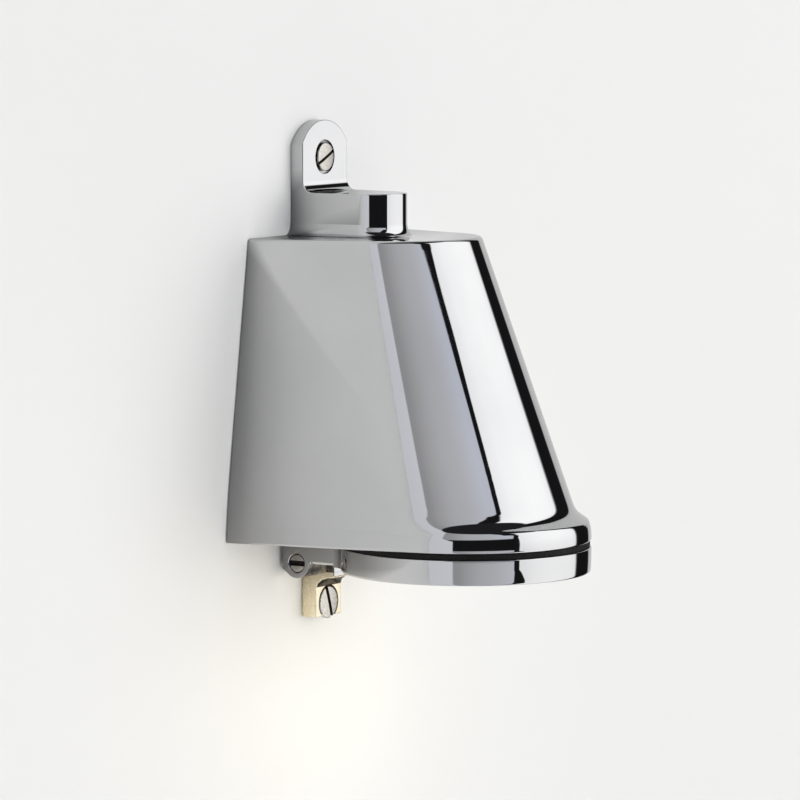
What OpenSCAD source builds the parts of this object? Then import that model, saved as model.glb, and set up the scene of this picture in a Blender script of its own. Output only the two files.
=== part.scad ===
// Wall-mounted spreader light: a chromed cast body with a flat back and a
// rounded tapering nose, a hinged lens ring under it, and a top lug and a
// bottom tab that take the two wall screws. Millimetres.
// Every module is drawn with X to the right, D out from the wall and Z up
// from the body's bottom rim, and place() puts it in the part's own frame:
// origin on the wall plane, midway between the wall screws, front along -Y.

/* [Body] */
// Height of the cast body without the lug
body_h = 89.8; // [80:0.1:100]
// Half width of the back edge at the bottom rim
back_half_bottom = 47.05; // [44:0.05:50]
// Half width of the back edge at the top
back_half_top = 35.1; // [32:0.1:38]
// Radius of the nose at the top of the body
nose_r_top = 26.4; // [24:0.1:29]
// Distance of the nose's centre from the wall at the top
nose_c_top = 28.8; // [26:0.1:31]
// How much the nose's radius grows for each millimetre down
nose_r_slope = 0.134; // [0.11:0.002:0.15]
// How far the nose's centre moves out for each millimetre down
nose_c_slope = 0.25; // [0.23:0.005:0.27]
// Wall thickness of the casting
body_wall = 3.2; // [2.5:0.1:4]

/* [Collar and lens ring] */
// Outer radius of the collar and of the lens ring
ring_r = 37.5; // [36:0.1:39]
// Distance of the ring's centre from the wall
ring_c = 54.5; // [53:0.1:56]
// Height of the collar's face
collar_h = 6.1; // [5:0.1:7]
// Radius of the mouth under the body and of the ring's bore
mouth_r = 30; // [28:0.1:31]
// Thickness of the ring seal, which is the dark line round the light
seal_t = 1.85; // [1.4:0.05:2.2]
// Height of the lens ring
ring_h = 7.45; // [6.5:0.05:8.5]

/* [Lug and wall tab] */
// Width of the top lug and of the block that carries it, at the wall
lug_w = 24.8; // [20:0.1:28]
// Radius of the block's round front
block_r = 10.3; // [9:0.1:12]
// Distance of the round front's centre from the wall
block_c = 21.4; // [18:0.1:24]
// Thickness of the lug
lug_t = 4.2; // [3.6:0.1:5]
// Height of the lug's top above the rim
lug_top = 124.1; // [120:0.1:128]
// Radius of the lug's round top
lug_r = 14.2; // [12.5:0.1:16]
// Height of the upper wall screw above the rim
screw_up_z = 112.9; // [110:0.1:116]
// Depth of the lower wall screw below the rim
screw_low_z = 22.5; // [21:0.1:24]
// Width of the wall tab under the body
tab_w = 13.6; // [12:0.1:15]
// Thickness of the wall tab
tab_t = 5.2; // [4.5:0.1:6]

/* [Hinge] */
// Distance of the hinge axis from the wall
hinge_d = 6.2; // [6:0.05:7]
// Depth of the hinge axis below the rim
hinge_z = 8.6; // [8:0.05:9.5]
// Radius of the hinge barrel
hinge_r = 4.5; // [4:0.1:5]
// Radius of the hinge pin
pin_r = 1.75; // [1.5:0.05:2]
// Half width over the two arms
arm_out = 18.9; // [18:0.1:20]
// Width of one arm
arm_w = 6.9; // [5.5:0.1:7]

/* [Lamp] */
// Distance of the lamp's axis from the wall
lamp_d = 53; // [52:0.5:54]
// Outer radius of the glass capsule
lamp_r = 6.6; // [6:0.1:7]
// Height of the capsule's tip above the rim
lamp_tip = 8; // [7:0.5:12]

/* [Cable entry] */
// Bore of the rubber grommet
cable_bore_r = 3.8; // [3:0.1:4.5]

/* [Hidden] */
$fn = 64;
// Height of the part's origin above the rim: midway between the wall screws
org = (screw_up_z - screw_low_z) / 2;
e = 0.01;
// Rim, plate and ledge depths from the wall
plate_d = 1.4;
plate_t = 1.6;
seal_back_t = 0.6;
ledge_d = plate_d + plate_t + seal_back_t;
ledge_w = 3.5;
rim_w = 3.4;
// Closing screw: distance of its axis from the ring's centre
close_r = 33.6;
close_d = ring_c + close_r;
close_travel = 5;
ring_top = -seal_t;
ring_bot = -seal_t - ring_h;

module place() translate([0, 0, -org]) mirror([0, 1, 0]) children();
// Extrusion along X of a profile drawn as (D, Z)
module ex(x0, x1) translate([x0, 0, 0]) rotate([90, 0, 90])
    linear_extrude(x1 - x0) children();
// Extrusion along D of a profile drawn as (X, Z)
module ey(d0, d1) translate([0, d1, 0]) rotate([90, 0, 0])
    linear_extrude(d1 - d0) children();
// Round bar along D, with radius ra at d0 and rb at d1
module bar_d(ra, rb, d0, d1, x, z) translate([x, d1, z]) rotate([90, 0, 0])
    cylinder(r1 = rb, r2 = ra, h = d1 - d0);
module bar_x(r, x0, x1, d, z) translate([x0, d, z]) rotate([0, 90, 0])
    cylinder(r = r, h = x1 - x0);

// ---- the body's outer skin ----
// Half width of the back edge at height z: straight above 24, easing to
// upright at the rim
w_slope = (back_half_bottom - 2.5 - back_half_top) / (body_h - 24);
function back_half(z) = z > 24 ? back_half_bottom - 2.5 - w_slope * (z - 24)
    : back_half_bottom - 2.5 * pow(max(z, 0) / 24, w_slope * 24 / 2.5);
function cone_r(z) = nose_r_top + nose_r_slope * (body_h - z);
function cone_c(z) = nose_c_top + nose_c_slope * (body_h - z);
// Blend from the collar (0) to the tapering nose (1)
fil_top = 12.2;
function blend(z) = z <= collar_h ? 0 : z >= fil_top ? 1
    : 1 - pow((fil_top - z) / (fil_top - collar_h), 4.6);
function col_r(z) = ring_r - 0.95 * pow(min(max(z, 0), collar_h) / collar_h, 3);
function skin_r(z) = let (b = blend(z)) (1 - b) * col_r(z) + b * cone_r(z);
function skin_c(z) = let (b = blend(z)) (1 - b) * ring_c + b * cone_c(z);
// Outline at one height: flat back, two straight sides, round nose
arc_n = 36;
function tang(w, c, r) = acos(r / sqrt(w * w + c * c)) - atan2(c, w);
function outline(w, c, r, y0, z) = let (
    a = tang(w, c, r), tx = r * cos(a), ty = c + r * sin(a), s = y0 / ty)
    concat([[w + s * (tx - w), y0, z]],
        [for (i = [0 : arc_n]) let (q = a + (180 - 2 * a) * i / arc_n)
            [r * cos(q), c + r * sin(q), z]],
        [[-w - s * (tx - w), y0, z]]);
module loft(rings) {
    n = len(rings[0]);
    m = len(rings);
    pts = [for (g = rings) for (p = g) p];
    sides = [for (k = [0 : m - 2]) for (i = [0 : n - 1]) for (h = [0, 1])
        let (j = (i + 1) % n) h == 0
            ? [k * n + i, (k + 1) * n + i, (k + 1) * n + j]
            : [k * n + i, (k + 1) * n + j, k * n + j]];
    polyhedron(pts, concat([[for (i = [0 : n - 1]) i]], sides,
        [[for (i = [n - 1 : -1 : 0]) (m - 1) * n + i]]));
}
skin_z = [0, 2.4, 4.2, 5.4, 6.1, 6.4, 6.8, 7.4, 8.2, 9.2, 12.2, 18, 24, 45,
    68, 88.9];
module skin() loft(concat(
    [for (z = skin_z) outline(back_half(z), skin_c(z), skin_r(z), 0, z)],
    [for (q = [40, 90]) let (z = body_h - 0.9 + 0.9 * sin(q),
        s = 0.9 * (1 - cos(q)))
        outline(back_half(z) - s, skin_c(z), skin_r(z) - s, 0, z)]));
cav_z = [8.4, 20, 45, 70, body_h - body_wall - 0.3];
module cavity() loft([for (z = cav_z) outline(back_half(z) - body_wall - 0.1,
    cone_c(z), cone_r(z) - body_wall, ledge_d + 2.4, z)]);
// Back opening shapes, seen from the front
module back_shape(inset, z0, z1) polygon([
    [-back_half(z0) + inset, z0], [back_half(z0) - inset, z0],
    [back_half(z1) - inset, z1], [-back_half(z1) + inset, z1]]);
plate_pts = [[-36.6, 15], [36.6, 15], [28.2, 78.6], [-28.2, 78.6]];

// Block and lug seen from above: two sides that close in on a round front
module block_plan(z0, z1) {
    a = tang(lug_w / 2, block_c, block_r);
    tx = block_r * cos(a);
    ty = block_c + block_r * sin(a);
    translate([0, 0, z0]) linear_extrude(z1 - z0)
        polygon([[-lug_w / 2, 0], [lug_w / 2, 0], [tx, ty], [-tx, ty]]);
    translate([0, block_c, z0]) cylinder(r = block_r, h = z1 - z0, $fn = 96);
}
module lug_and_block() {
    block_plan(80, 102.6);
    // Lug with its round top
    intersection() {
        block_plan(80, 140);
        union() {
            translate([-20, 0, 80]) cube([40, lug_t, lug_top - lug_r - 80]);
            bar_d(lug_r, lug_r, 0, lug_t, 0, lug_top - lug_r);
        }
    }
    // Concave fillet in the corner between block and lug
    intersection() {
        block_plan(100, 110);
        ex(-20, 20) difference() {
            translate([lug_t - e, 102.6 - e]) square(3.4);
            translate([lug_t + 3.4, 106]) circle(r = 3.4, $fn = 48);
        }
    }
}
module hinge_lug() {
    // Barrel between the ring's two arms, hung from the underside
    bar_x(hinge_r, -(arm_out - arm_w - 0.3), arm_out - arm_w - 0.3, hinge_d,
        -hinge_z);
    translate([-(arm_out - arm_w - 0.3), 0.4, -hinge_z])
        cube([2 * (arm_out - arm_w - 0.3), hinge_d + hinge_r - 0.4,
            hinge_z + 0.5]);
    // Middle block and wall tab in one
    ex(-tab_w / 2, tab_w / 2) polygon([[0, 0.5], [0, -26.6], [tab_t, -26.6],
        [tab_t, -17.4], [5.7, -16.1], [7.2, -14.9], [9, -14.3],
        [11.2, -14.1], [11.8, -13.6], [11.8, 0.5]]);
}
module body() color([0.78, 0.79, 0.81]) place() difference() {
    union() {
        difference() {
            union() {
                skin();
                lug_and_block();
                hinge_lug();
            }
            cavity();
            translate([0, ring_c, -1]) cylinder(r = mouth_r, h = 9.6, $fn = 96);
            ey(-1, ledge_d + 2.6) back_shape(rim_w + ledge_w, 9, 83.2);
        }
        // Bosses for the plate screws
        for (p = plate_pts) bar_d(3.6, 3.6, ledge_d, 11, p[0], p[1]);
    }
    ey(-1, ledge_d) back_shape(rim_w, 5.2, 86.4);
    for (p = plate_pts) bar_d(1.5, 1.5, 0, 10, p[0], p[1]);
    // Upper wall screw: through hole and counterbore
    bar_d(2.4, 2.4, -1, lug_t + 1, 0, screw_up_z);
    bar_d(5.15, 5.15, 2, lug_t + 1, 0, screw_up_z);
    // Lower wall screw: through hole and open-bottomed recess
    bar_d(2.4, 2.4, -1, tab_t + 1, 0, -screw_low_z);
    bar_d(5.35, 5.35, 3.5, tab_t + 9, 0, -screw_low_z + 0.05);
    bar_d(6.9, 6.9, tab_t + 0.01, tab_t + 9, 0, -screw_low_z + 0.3);
    // Hinge pin bore
    bar_x(pin_r + 0.05, -20, 20, hinge_d, -hinge_z);
    // Hole for the closing screw, with room for its clip
    translate([0, close_d, -1]) cylinder(r = 2.4, h = 6.6);
    translate([0, close_d, -1]) cylinder(r = 3.2, h = 2.2);
}

// ---- back cover ----
module back_plate() color([0.66, 0.66, 0.64]) place() difference() {
    ey(plate_d, plate_d + plate_t) back_shape(rim_w + 0.25, 5.45, 86.15);
    bar_d(6.5, 6.5, 0, 5, 0, org);
    for (p = plate_pts) {
        bar_d(1.65, 1.65, 0, 5, p[0], p[1]);
        bar_d(3.05, 1.65, plate_d - e, plate_d + 1.4, p[0], p[1]);
    }
    for (x = [-9, 9]) bar_d(1.5, 1.5, 0, 5, x, 63.5);
    for (x = [-4, 4]) bar_d(1.25, 1.25, 0, 5, x, 75.5);
    bar_d(1.5, 1.5, 0, 5, 24, 58);
}
module back_plate_seal() color([0.12, 0.12, 0.13]) place()
    ey(plate_d + plate_t, ledge_d) difference() {
        back_shape(rim_w + 0.3, 5.5, 86.1);
        back_shape(rim_w + ledge_w - 0.2, 8.8, 83.4);
        for (p = plate_pts) translate(p) circle(r = 1.8);
    }
module back_plate_screws() color([0.72, 0.72, 0.7]) place()
    for (p = plate_pts) difference() {
        union() {
            bar_d(2.95, 1.48, plate_d, plate_d + 1.4, p[0], p[1]);
            bar_d(1.48, 1.48, plate_d + 1.2, 9.4, p[0], p[1]);
        }
        translate([p[0] - 4, plate_d - 1, p[1] - 0.4]) cube([8, 1.7, 0.8]);
    }
module cable_grommet() color([0.1, 0.1, 0.11]) place() difference() {
    union() {
        bar_d(6.45, 6.45, 0.4, 5.6, 0, org);
        bar_d(8.2, 8.6, 0.3, plate_d, 0, org);
        bar_d(8.6, 7.2, plate_d + plate_t, plate_d + plate_t + 2.2, 0, org);
    }
    bar_d(cable_bore_r, cable_bore_r, -1, 7, 0, org);
}

// ---- terminals and earth ----
tb_x = [-8, 0, 8];
tb_z = [72, 79];
tb_d0 = plate_d + plate_t;
module terminal_block() color([0.9, 0.89, 0.85]) place() difference() {
    union() {
        translate([-12.6, tb_d0, 68.5]) cube([25.2, 9, 14]);
        for (x = tb_x) translate([x - 3.4, tb_d0, 68.5]) cube([6.8, 12.5, 14]);
    }
    for (x = tb_x) {
        translate([x, tb_d0 + 5.2, 60]) cylinder(r = 2.6, h = 30);
        for (z = tb_z) bar_d(1.9, 1.9, tb_d0 + 5, 20, x, z);
    }
    for (x = [-4, 4]) bar_d(1.35, 1.35, 0, 20, x, 75.5);
    for (x = [-4, 4]) bar_d(2.3, 2.3, tb_d0 + 7, 20, x, 75.5);
}
module terminal_inserts() color([0.83, 0.68, 0.36]) place()
    for (x = tb_x) difference() {
        translate([x, tb_d0 + 5.2, 70]) cylinder(r = 2.55, h = 11);
        translate([x, tb_d0 + 5.2, 60]) cylinder(r = 1.5, h = 30);
        for (z = tb_z) bar_d(1.2, 1.2, tb_d0 + 5.2, 20, x, z);
    }
module terminal_screws() color([0.8, 0.8, 0.78]) place()
    for (x = tb_x) for (z = tb_z) difference() {
        union() {
            bar_d(1.18, 1.18, tb_d0 + 6.2, tb_d0 + 9.2, x, z);
            bar_d(1.75, 1.75, tb_d0 + 9.2, tb_d0 + 10.6, x, z);
        }
        translate([x - 3, tb_d0 + 9.9, z - 0.25]) cube([6, 2, 0.5]);
    }
module terminal_block_screws() color([0.75, 0.75, 0.73]) place()
    for (x = [-4, 4]) difference() {
        union() {
            bar_d(1.22, 1.22, plate_d + 0.1, tb_d0 + 7, x, 75.5);
            bar_d(2.15, 2.15, tb_d0 + 7, tb_d0 + 8.4, x, 75.5);
        }
        translate([x - 3, tb_d0 + 7.7, 75.2]) cube([6, 2, 0.6]);
    }
module earth_tag() color([0.78, 0.76, 0.7]) place() difference() {
    union() {
        bar_d(3.4, 3.4, tb_d0, tb_d0 + 0.8, 24, 58);
        translate([22.4, tb_d0, 58]) cube([3.2, 0.8, 8]);
        translate([24, tb_d0 + 1.75, 63.6]) cylinder(r = 1.7, h = 4);
    }
    bar_d(1.55, 1.55, 0, 8, 24, 58);
    translate([24, tb_d0 + 1.75, 64.4]) cylinder(r = 1.05, h = 8);
}
module earth_screw() color([0.8, 0.74, 0.5]) place() difference() {
    union() {
        bar_d(1.48, 1.48, plate_d + 0.1, tb_d0 + 0.9, 24, 58);
        bar_d(2.8, 2.6, tb_d0 + 0.8, tb_d0 + 2.6, 24, 58);
    }
    translate([20, tb_d0 + 1.7, 57.6]) cube([8, 2, 0.8]);
}

// ---- lamp, holder and reflector ----
arm_z = 58;
module lampholder_bracket() color([0.7, 0.7, 0.68]) place() difference() {
    union() {
        translate([-14, tb_d0, arm_z]) cube([28, 1.5, 9.6]);
        translate([-8, tb_d0, arm_z]) cube([16, lamp_d - tb_d0, 1.5]);
        translate([0, lamp_d, arm_z]) cylinder(r = 8, h = 1.5);
    }
    for (x = [-9, 9]) bar_d(1.6, 1.6, 0, 8, x, 63.5);
    for (x = [-5.2, 5.2]) translate([x, lamp_d, 50]) cylinder(r = 1.6, h = 20);
    for (y = [-5.5, 5.5]) translate([0, lamp_d + y, 50])
        cylinder(r = 1.6, h = 20);
}
module bracket_screws() color([0.78, 0.78, 0.76]) place()
    for (x = [-9, 9]) difference() {
        union() {
            bar_d(1.48, 1.48, plate_d + 0.1, tb_d0 + 1.6, x, 63.5);
            bar_d(2.75, 2.6, tb_d0 + 1.5, tb_d0 + 3.4, x, 63.5);
        }
        translate([x - 4, tb_d0 + 2.5, 63.1]) cube([8, 2, 0.8]);
    }
module lampholder() color([0.93, 0.92, 0.88]) place() difference() {
    union() {
        translate([0, lamp_d, 51]) cylinder(r = 10.2, h = arm_z - 51);
        translate([0, lamp_d, 42]) cylinder(r = 9.4, h = 9.2);
    }
    // Well for the lamp's pinch, and the two pin sockets above it
    translate([-6.4, lamp_d - 2.9, 41]) cube([12.8, 5.8, 5.4]);
    for (x = [-4.5, 4.5]) translate([x, lamp_d, 42]) cylinder(r = 1.9, h = 12);
    for (x = [-5.2, 5.2]) translate([x, lamp_d, 54.4])
        cylinder(r = 1.5, h = 6);
    for (y = [-5.5, 5.5]) translate([0, lamp_d + y, 53])
        cylinder(r = 1.5, h = 8);
}
module lampholder_contacts() color([0.85, 0.72, 0.42]) place()
    for (x = [-4.5, 4.5]) translate([x, lamp_d, 46.6]) difference() {
        cylinder(r = 1.85, h = 6.6);
        translate([0, 0, -1]) cylinder(r = 0.85, h = 9);
    }
module lampholder_screws() color([0.78, 0.78, 0.76]) place()
    for (x = [-5.2, 5.2]) difference() {
        union() {
            translate([x, lamp_d, 54.6]) cylinder(r = 1.45, h = 5);
            translate([x, lamp_d, arm_z + 1.5]) cylinder(r = 2.6, h = 1.8);
        }
        translate([x - 4, lamp_d - 0.4, arm_z + 2.4]) cube([8, 0.8, 2]);
    }
// Bowl: its radius grows as the root of the depth, from a flat top
refl_z = 49.4;
refl_n = 14;
function refl_r(z) = sqrt(13 * 13 + 13.1 * (refl_z - z));
function refl_wall(o) = [for (i = [0 : refl_n])
    let (z = refl_z - (refl_z - 4.8) * pow(i / refl_n, 1.4))
    [refl_r(z) + o, z]];
module reflector() color([0.86, 0.87, 0.88]) place() translate([0, lamp_d, 0])
    rotate_extrude($fn = 72) polygon(concat(
        [[9.6, refl_z], [9.6, refl_z + 0.8], [13.4, refl_z + 0.8]],
        [for (p = refl_wall(0.8)) if (p[1] < refl_z - 0.2) p],
        [[28.5, 4.3], [27.7, 4.1]],
        [for (i = [refl_n : -1 : 1]) refl_wall(0)[i]], [[12.6, refl_z]]));
module reflector_ring() color([0.92, 0.91, 0.87]) place()
    translate([0, lamp_d, 45.4]) difference() {
        union() {
            cylinder(r = 12.2, h = 4);
            for (i = [0 : 11]) rotate([0, 0, i * 30]) translate([11.8, 0, 0])
                cylinder(r = 0.7, h = 3.4);
        }
        translate([0, 0, -1]) cylinder(r = 9.5, h = 6);
    }
module lamp_capsule() color([0.93, 0.94, 0.95, 0.5]) place()
    translate([0, lamp_d, 0]) {
        rotate_extrude() difference() {
            union() {
                translate([0, lamp_tip + lamp_r]) intersection() {
                    circle(r = lamp_r, $fn = 64);
                    translate([0, -10]) square([10, 10]);
                }
                translate([0, lamp_tip + lamp_r]) square([lamp_r, 19]);
                polygon([[0, lamp_tip + lamp_r + 19],
                    [lamp_r, lamp_tip + lamp_r + 19], [4.5, 38], [0, 38]]);
            }
            union() {
                translate([0, lamp_tip + lamp_r]) intersection() {
                    circle(r = lamp_r - 0.9, $fn = 64);
                    translate([0, -10]) square([10, 10]);
                }
                translate([0, lamp_tip + lamp_r - e])
                    square([lamp_r - 0.9, 20]);
            }
            translate([-20, 0]) square([20, 60]);
        }
        translate([-6, -1.7, 36.5]) cube([12, 3.4, 8.3]);
    }
module lamp_pins() color([0.8, 0.8, 0.82]) place()
    for (x = [-4.5, 4.5]) translate([x, lamp_d, 44.8]) {
        cylinder(r = 0.75, h = 6.4);
        translate([0, 0, 6.4]) sphere(r = 0.75, $fn = 24);
    }
module lamp_filament() color([0.95, 0.8, 0.45]) place()
    translate([0, lamp_d, 0]) {
        // Coil, its top support and the return wire beside it
        translate([0, 0, 15]) cylinder(r = 0.9, h = 14);
        translate([0, 0, 28.5]) cylinder(r = 0.3, h = 6);
        translate([-0.3, -0.3, 14.5]) cube([4, 0.6, 0.6]);
        translate([3.4, 0, 14.8]) cylinder(r = 0.25, h = 19.7);
    }

// ---- leads: a round wire swept along hand-set points ----
function unit(v) = v / norm(v);
function frames(p) = [for (i = [0 : len(p) - 1])
    unit(p[min(i + 1, len(p) - 1)] - p[max(i - 1, 0)])];
// Smooth curve through the points
function cr(a, b, c, d, t) = 0.5 * ((2 * b) + (c - a) * t
    + (2 * a - 5 * b + 4 * c - d) * t * t
    + (3 * b - a - 3 * c + d) * t * t * t);
function smooth(p, n) = concat([for (i = [0 : len(p) - 2]) for (k = [0 : n - 1])
    cr(p[max(i - 1, 0)], p[i], p[i + 1], p[min(i + 2, len(p) - 1)], k / n)],
    [p[len(p) - 1]]);
module wire(p, r) {
    f = frames(p);
    ref = [0.31, 0.2, 0.93];
    n = 8;
    rings = [for (i = [0 : len(p) - 1])
        let (u = unit(cross(ref, f[i])), v = cross(f[i], u))
        [for (k = [0 : n - 1]) p[i] + r * (u * cos(k * 45) + v * sin(k * 45))]];
    loft(rings);
}
live_pts = [[-8, 8.2, 71], [-8, 8.2, 67.6], [-8.4, 10, 64.4],
    [-9, 16, 62.6], [-8, 28, 62.4], [-5, 40, 63], [-1.4, 46.4, 62.8],
    [0, 47.5, 60], [0, 47.5, 54]];
neutral_pts = [[0, 8.2, 71], [0, 8.2, 67.6], [0.8, 10.4, 65.2],
    [3, 18, 64], [6.6, 30, 63.6], [8.6, 44, 64], [6.6, 55, 64.6],
    [1.6, 58.4, 63], [0, 58.5, 60], [0, 58.5, 54]];
earth_pts = [[8, 8.2, 71], [8, 8.2, 67.8], [9.4, 8.4, 65.6],
    [14, 8.6, 64.6], [19, 8, 66.6], [22.4, 6, 69.4], [24, 4.75, 68.2],
    [24, 4.75, 65]];
module lead_live() color([0.45, 0.26, 0.14]) place()
    wire(smooth(live_pts, 4), 1.0);
module lead_neutral() color([0.16, 0.3, 0.62]) place()
    wire(smooth(neutral_pts, 4), 1.0);
module lead_earth() color([0.2, 0.5, 0.22]) place()
    wire(smooth(earth_pts, 4), 0.95);

// ---- lens ring and its parts ----
module ring_seal() color([0.05, 0.05, 0.06]) place() difference() {
    translate([0, ring_c, ring_top]) cylinder(r = ring_r - 0.4, h = seal_t,
        $fn = 96);
    translate([0, ring_c, -5]) cylinder(r = mouth_r, h = 10, $fn = 96);
    translate([0, close_d, -5]) cylinder(r = 3.1, h = 10);
}
// Side shape of a hinge arm: boss round the pin, flat back kept off the wall,
// and a straight bar to the ring
module arm_shape() {
    translate([hinge_d, -hinge_z]) circle(r = hinge_r, $fn = 64);
    intersection() {
        polygon([[1.1, ring_top], [1.1, -10.4], [3.1, -11.9], [hinge_d, -9],
            [10.2, -8.7], [10.7, -8.45], [26, -8.45], [26, ring_top]]);
        union() {
            translate([hinge_d, -hinge_z]) circle(r = 8.3, $fn = 64);
            translate([hinge_d, -12]) square([30, 12]);
        }
    }
}
module lens_ring() color([0.8, 0.81, 0.83]) place() difference() {
    union() {
        translate([0, ring_c, 0]) rotate_extrude($fn = 96) polygon([
            [mouth_r - 3, ring_top], [ring_r - 0.25, ring_top],
            [ring_r, ring_top - 0.25], [ring_r, ring_top - 4.5],
            [ring_r - 0.35, ring_bot + 0.7], [ring_r - 0.9, ring_bot],
            [mouth_r - 3, ring_bot]]);
        for (s = [-1, 1]) ex(s < 0 ? -arm_out : arm_out - arm_w,
            s < 0 ? -arm_out + arm_w : arm_out) arm_shape();
    }
    translate([0, ring_c, ring_bot + 1.6]) cylinder(r = mouth_r, h = 20,
        $fn = 96);
    translate([0, ring_c, ring_bot - 1]) cylinder(r = mouth_r - 1.6, h = 20,
        $fn = 96);
    bar_x(pin_r + 0.05, -20, 20, hinge_d, -hinge_z);
    // Seat for the pin's head, with a chamfered mouth
    bar_x(2.75, -20, -arm_out + 2.2, hinge_d, -hinge_z);
    translate([-arm_out - e, hinge_d, -hinge_z]) rotate([0, 90, 0])
        cylinder(r1 = 3.05, r2 = 2.75, h = 0.4);
    // Closing screw: shank hole, head recess below, clip recess above
    translate([0, close_d, -20]) cylinder(r = 1.58, h = 30);
    translate([0, close_d, -20]) cylinder(r = 2.85, h = 20 + ring_bot + 2.4);
    translate([0, close_d, -5.1]) cylinder(r = 2.8, h = 10);
}
module lens_seal() color([0.08, 0.08, 0.09]) place()
    translate([0, ring_c, ring_bot + 1.6]) difference() {
        cylinder(r = mouth_r - 0.1, h = 0.8, $fn = 96);
        translate([0, 0, -1]) cylinder(r = mouth_r - 1.5, h = 3, $fn = 96);
    }
module lens_glass() color([0.9, 0.94, 0.95, 0.45]) place()
    translate([0, ring_c, ring_bot + 2.4]) rotate_extrude($fn = 96)
        polygon([[0, -1.5], [12, -1.15], [20, -0.5], [24, 0], [29.8, 0],
            [29.8, 3], [24, 3], [20, 2.6], [12, 2.1], [0, 1.8]]);
module lens_retainer() color([0.75, 0.75, 0.74]) place()
    translate([0, ring_c, ring_bot + 5.4]) difference() {
        cylinder(r = mouth_r - 0.06, h = 1.3, $fn = 96);
        translate([0, 0, -1]) cylinder(r = mouth_r - 3, h = 4, $fn = 96);
        for (a = [45, 225]) rotate([0, 0, a])
            translate([mouth_r - 4, -1, 0.5]) cube([2.4, 2, 3]);
    }
module hinge_pin() color([0.8, 0.8, 0.78]) place() difference() {
    union() {
        bar_x(2.68, -arm_out + 0.25, -arm_out + 2.2, hinge_d, -hinge_z);
        bar_x(pin_r, -arm_out + 2.1, arm_out - 0.5, hinge_d, -hinge_z);
    }
    translate([-arm_out - 1, hinge_d - 4, -hinge_z - 0.8])
        cube([2.2, 8, 1.6]);
}
module closing_screw() color([0.8, 0.8, 0.78]) place()
    translate([0, close_d, 0]) difference() {
        union() {
            translate([0, 0, ring_bot + 0.15]) cylinder(r = 2.7, h = 2.25);
            translate([0, 0, ring_bot + 2.3]) cylinder(r = 1.5,
                h = 4.3 - ring_bot - 2.3);
            translate([0, 0, 4.3]) cylinder(r1 = 1.5, r2 = 1, h = 0.5);
        }
        translate([-4, -0.4, ring_bot - 1]) cube([8, 0.8, 2.1]);
        // Neck that the clip sits in
        difference() {
            translate([0, 0, 0.08]) cylinder(r = 2, h = 0.64);
            translate([0, 0, -1]) cylinder(r = 1.1, h = 4);
        }
    }
module closing_clip() color([0.35, 0.35, 0.37]) place()
    translate([0, close_d, 0.12]) difference() {
        cylinder(r = 2.6, h = 0.56);
        translate([0, 0, -1]) cylinder(r = 1.16, h = 3);
    }

// ---- wall screws ----
// Radius over the rolled thread behind the wall plane, and of the thinner plain
// neck that passes through the casting
shank_r = 2.1;
neck_r = 1.7;
module wall_screw_upper() color([0.82, 0.81, 0.78]) place() difference() {
    union() {
        bar_d(4.35, 4.35, 2, 4.3, 0, screw_up_z);
        bar_d(4.35, 3.9, 4.3, 4.75, 0, screw_up_z);
        bar_d(shank_r, shank_r, -14, 0, 0, screw_up_z);
        bar_d(neck_r, neck_r, -0.5, 2.1, 0, screw_up_z);
        bar_d(0.4, shank_r, -18, -14, 0, screw_up_z);
    }
    translate([0, 3.55, screw_up_z]) rotate([0, -25, 0])
        translate([-6, 0, -0.5]) cube([12, 3, 1]);
}
module wall_screw_lower() color([0.82, 0.81, 0.78]) place() difference() {
    union() {
        bar_d(4.9, 4.9, 3.5, 5.1, 0, -screw_low_z);
        bar_d(4.9, 4.3, 5.1, 5.6, 0, -screw_low_z);
        bar_d(shank_r, shank_r, -14, 0, 0, -screw_low_z);
        bar_d(neck_r, neck_r, -0.5, 3.6, 0, -screw_low_z);
        bar_d(0.4, shank_r, -18, -14, 0, -screw_low_z);
    }
    translate([0, 4.5, -screw_low_z]) rotate([0, 72.5, 0])
        translate([-6, 0, -0.7]) cube([12, 3, 1.4]);
}

body();
back_plate();
back_plate_seal();
back_plate_screws();
cable_grommet();
terminal_block();
terminal_inserts();
terminal_screws();
terminal_block_screws();
earth_screw();
earth_tag();
lampholder_bracket();
bracket_screws();
lampholder();
lampholder_contacts();
lampholder_screws();
reflector();
reflector_ring();
lamp_capsule();
lamp_pins();
lamp_filament();
lead_live();
lead_neutral();
lead_earth();
ring_seal();
lens_ring();
lens_seal();
lens_glass();
lens_retainer();
hinge_pin();
closing_screw();
closing_clip();
wall_screw_upper();
wall_screw_lower();
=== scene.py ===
# Chromed wall spreader light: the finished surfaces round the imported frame.
# Pieces are modelled in millimetres as (X, D, Z): X to the right, D out from
# the wall, Z up from the body's bottom rim. done() turns them into the row
# frame in metres: (X, -D, Z - ORG).
import math

import bmesh
import bpy
import numpy as np
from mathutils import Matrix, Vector


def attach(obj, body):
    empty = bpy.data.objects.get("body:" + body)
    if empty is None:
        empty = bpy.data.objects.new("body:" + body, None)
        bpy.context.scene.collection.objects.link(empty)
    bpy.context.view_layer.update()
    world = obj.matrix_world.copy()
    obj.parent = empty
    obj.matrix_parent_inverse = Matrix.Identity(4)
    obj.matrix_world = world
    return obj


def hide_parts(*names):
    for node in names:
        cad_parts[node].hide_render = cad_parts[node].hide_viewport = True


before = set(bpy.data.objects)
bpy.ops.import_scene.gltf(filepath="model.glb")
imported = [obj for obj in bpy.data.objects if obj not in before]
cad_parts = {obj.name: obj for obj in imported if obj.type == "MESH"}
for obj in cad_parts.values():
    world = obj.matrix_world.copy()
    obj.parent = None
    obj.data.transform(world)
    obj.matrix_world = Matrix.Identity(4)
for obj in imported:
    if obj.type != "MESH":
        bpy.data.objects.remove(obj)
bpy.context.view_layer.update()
ORG = 45.2
SCENE = bpy.context.scene
COL = SCENE.collection


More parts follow.
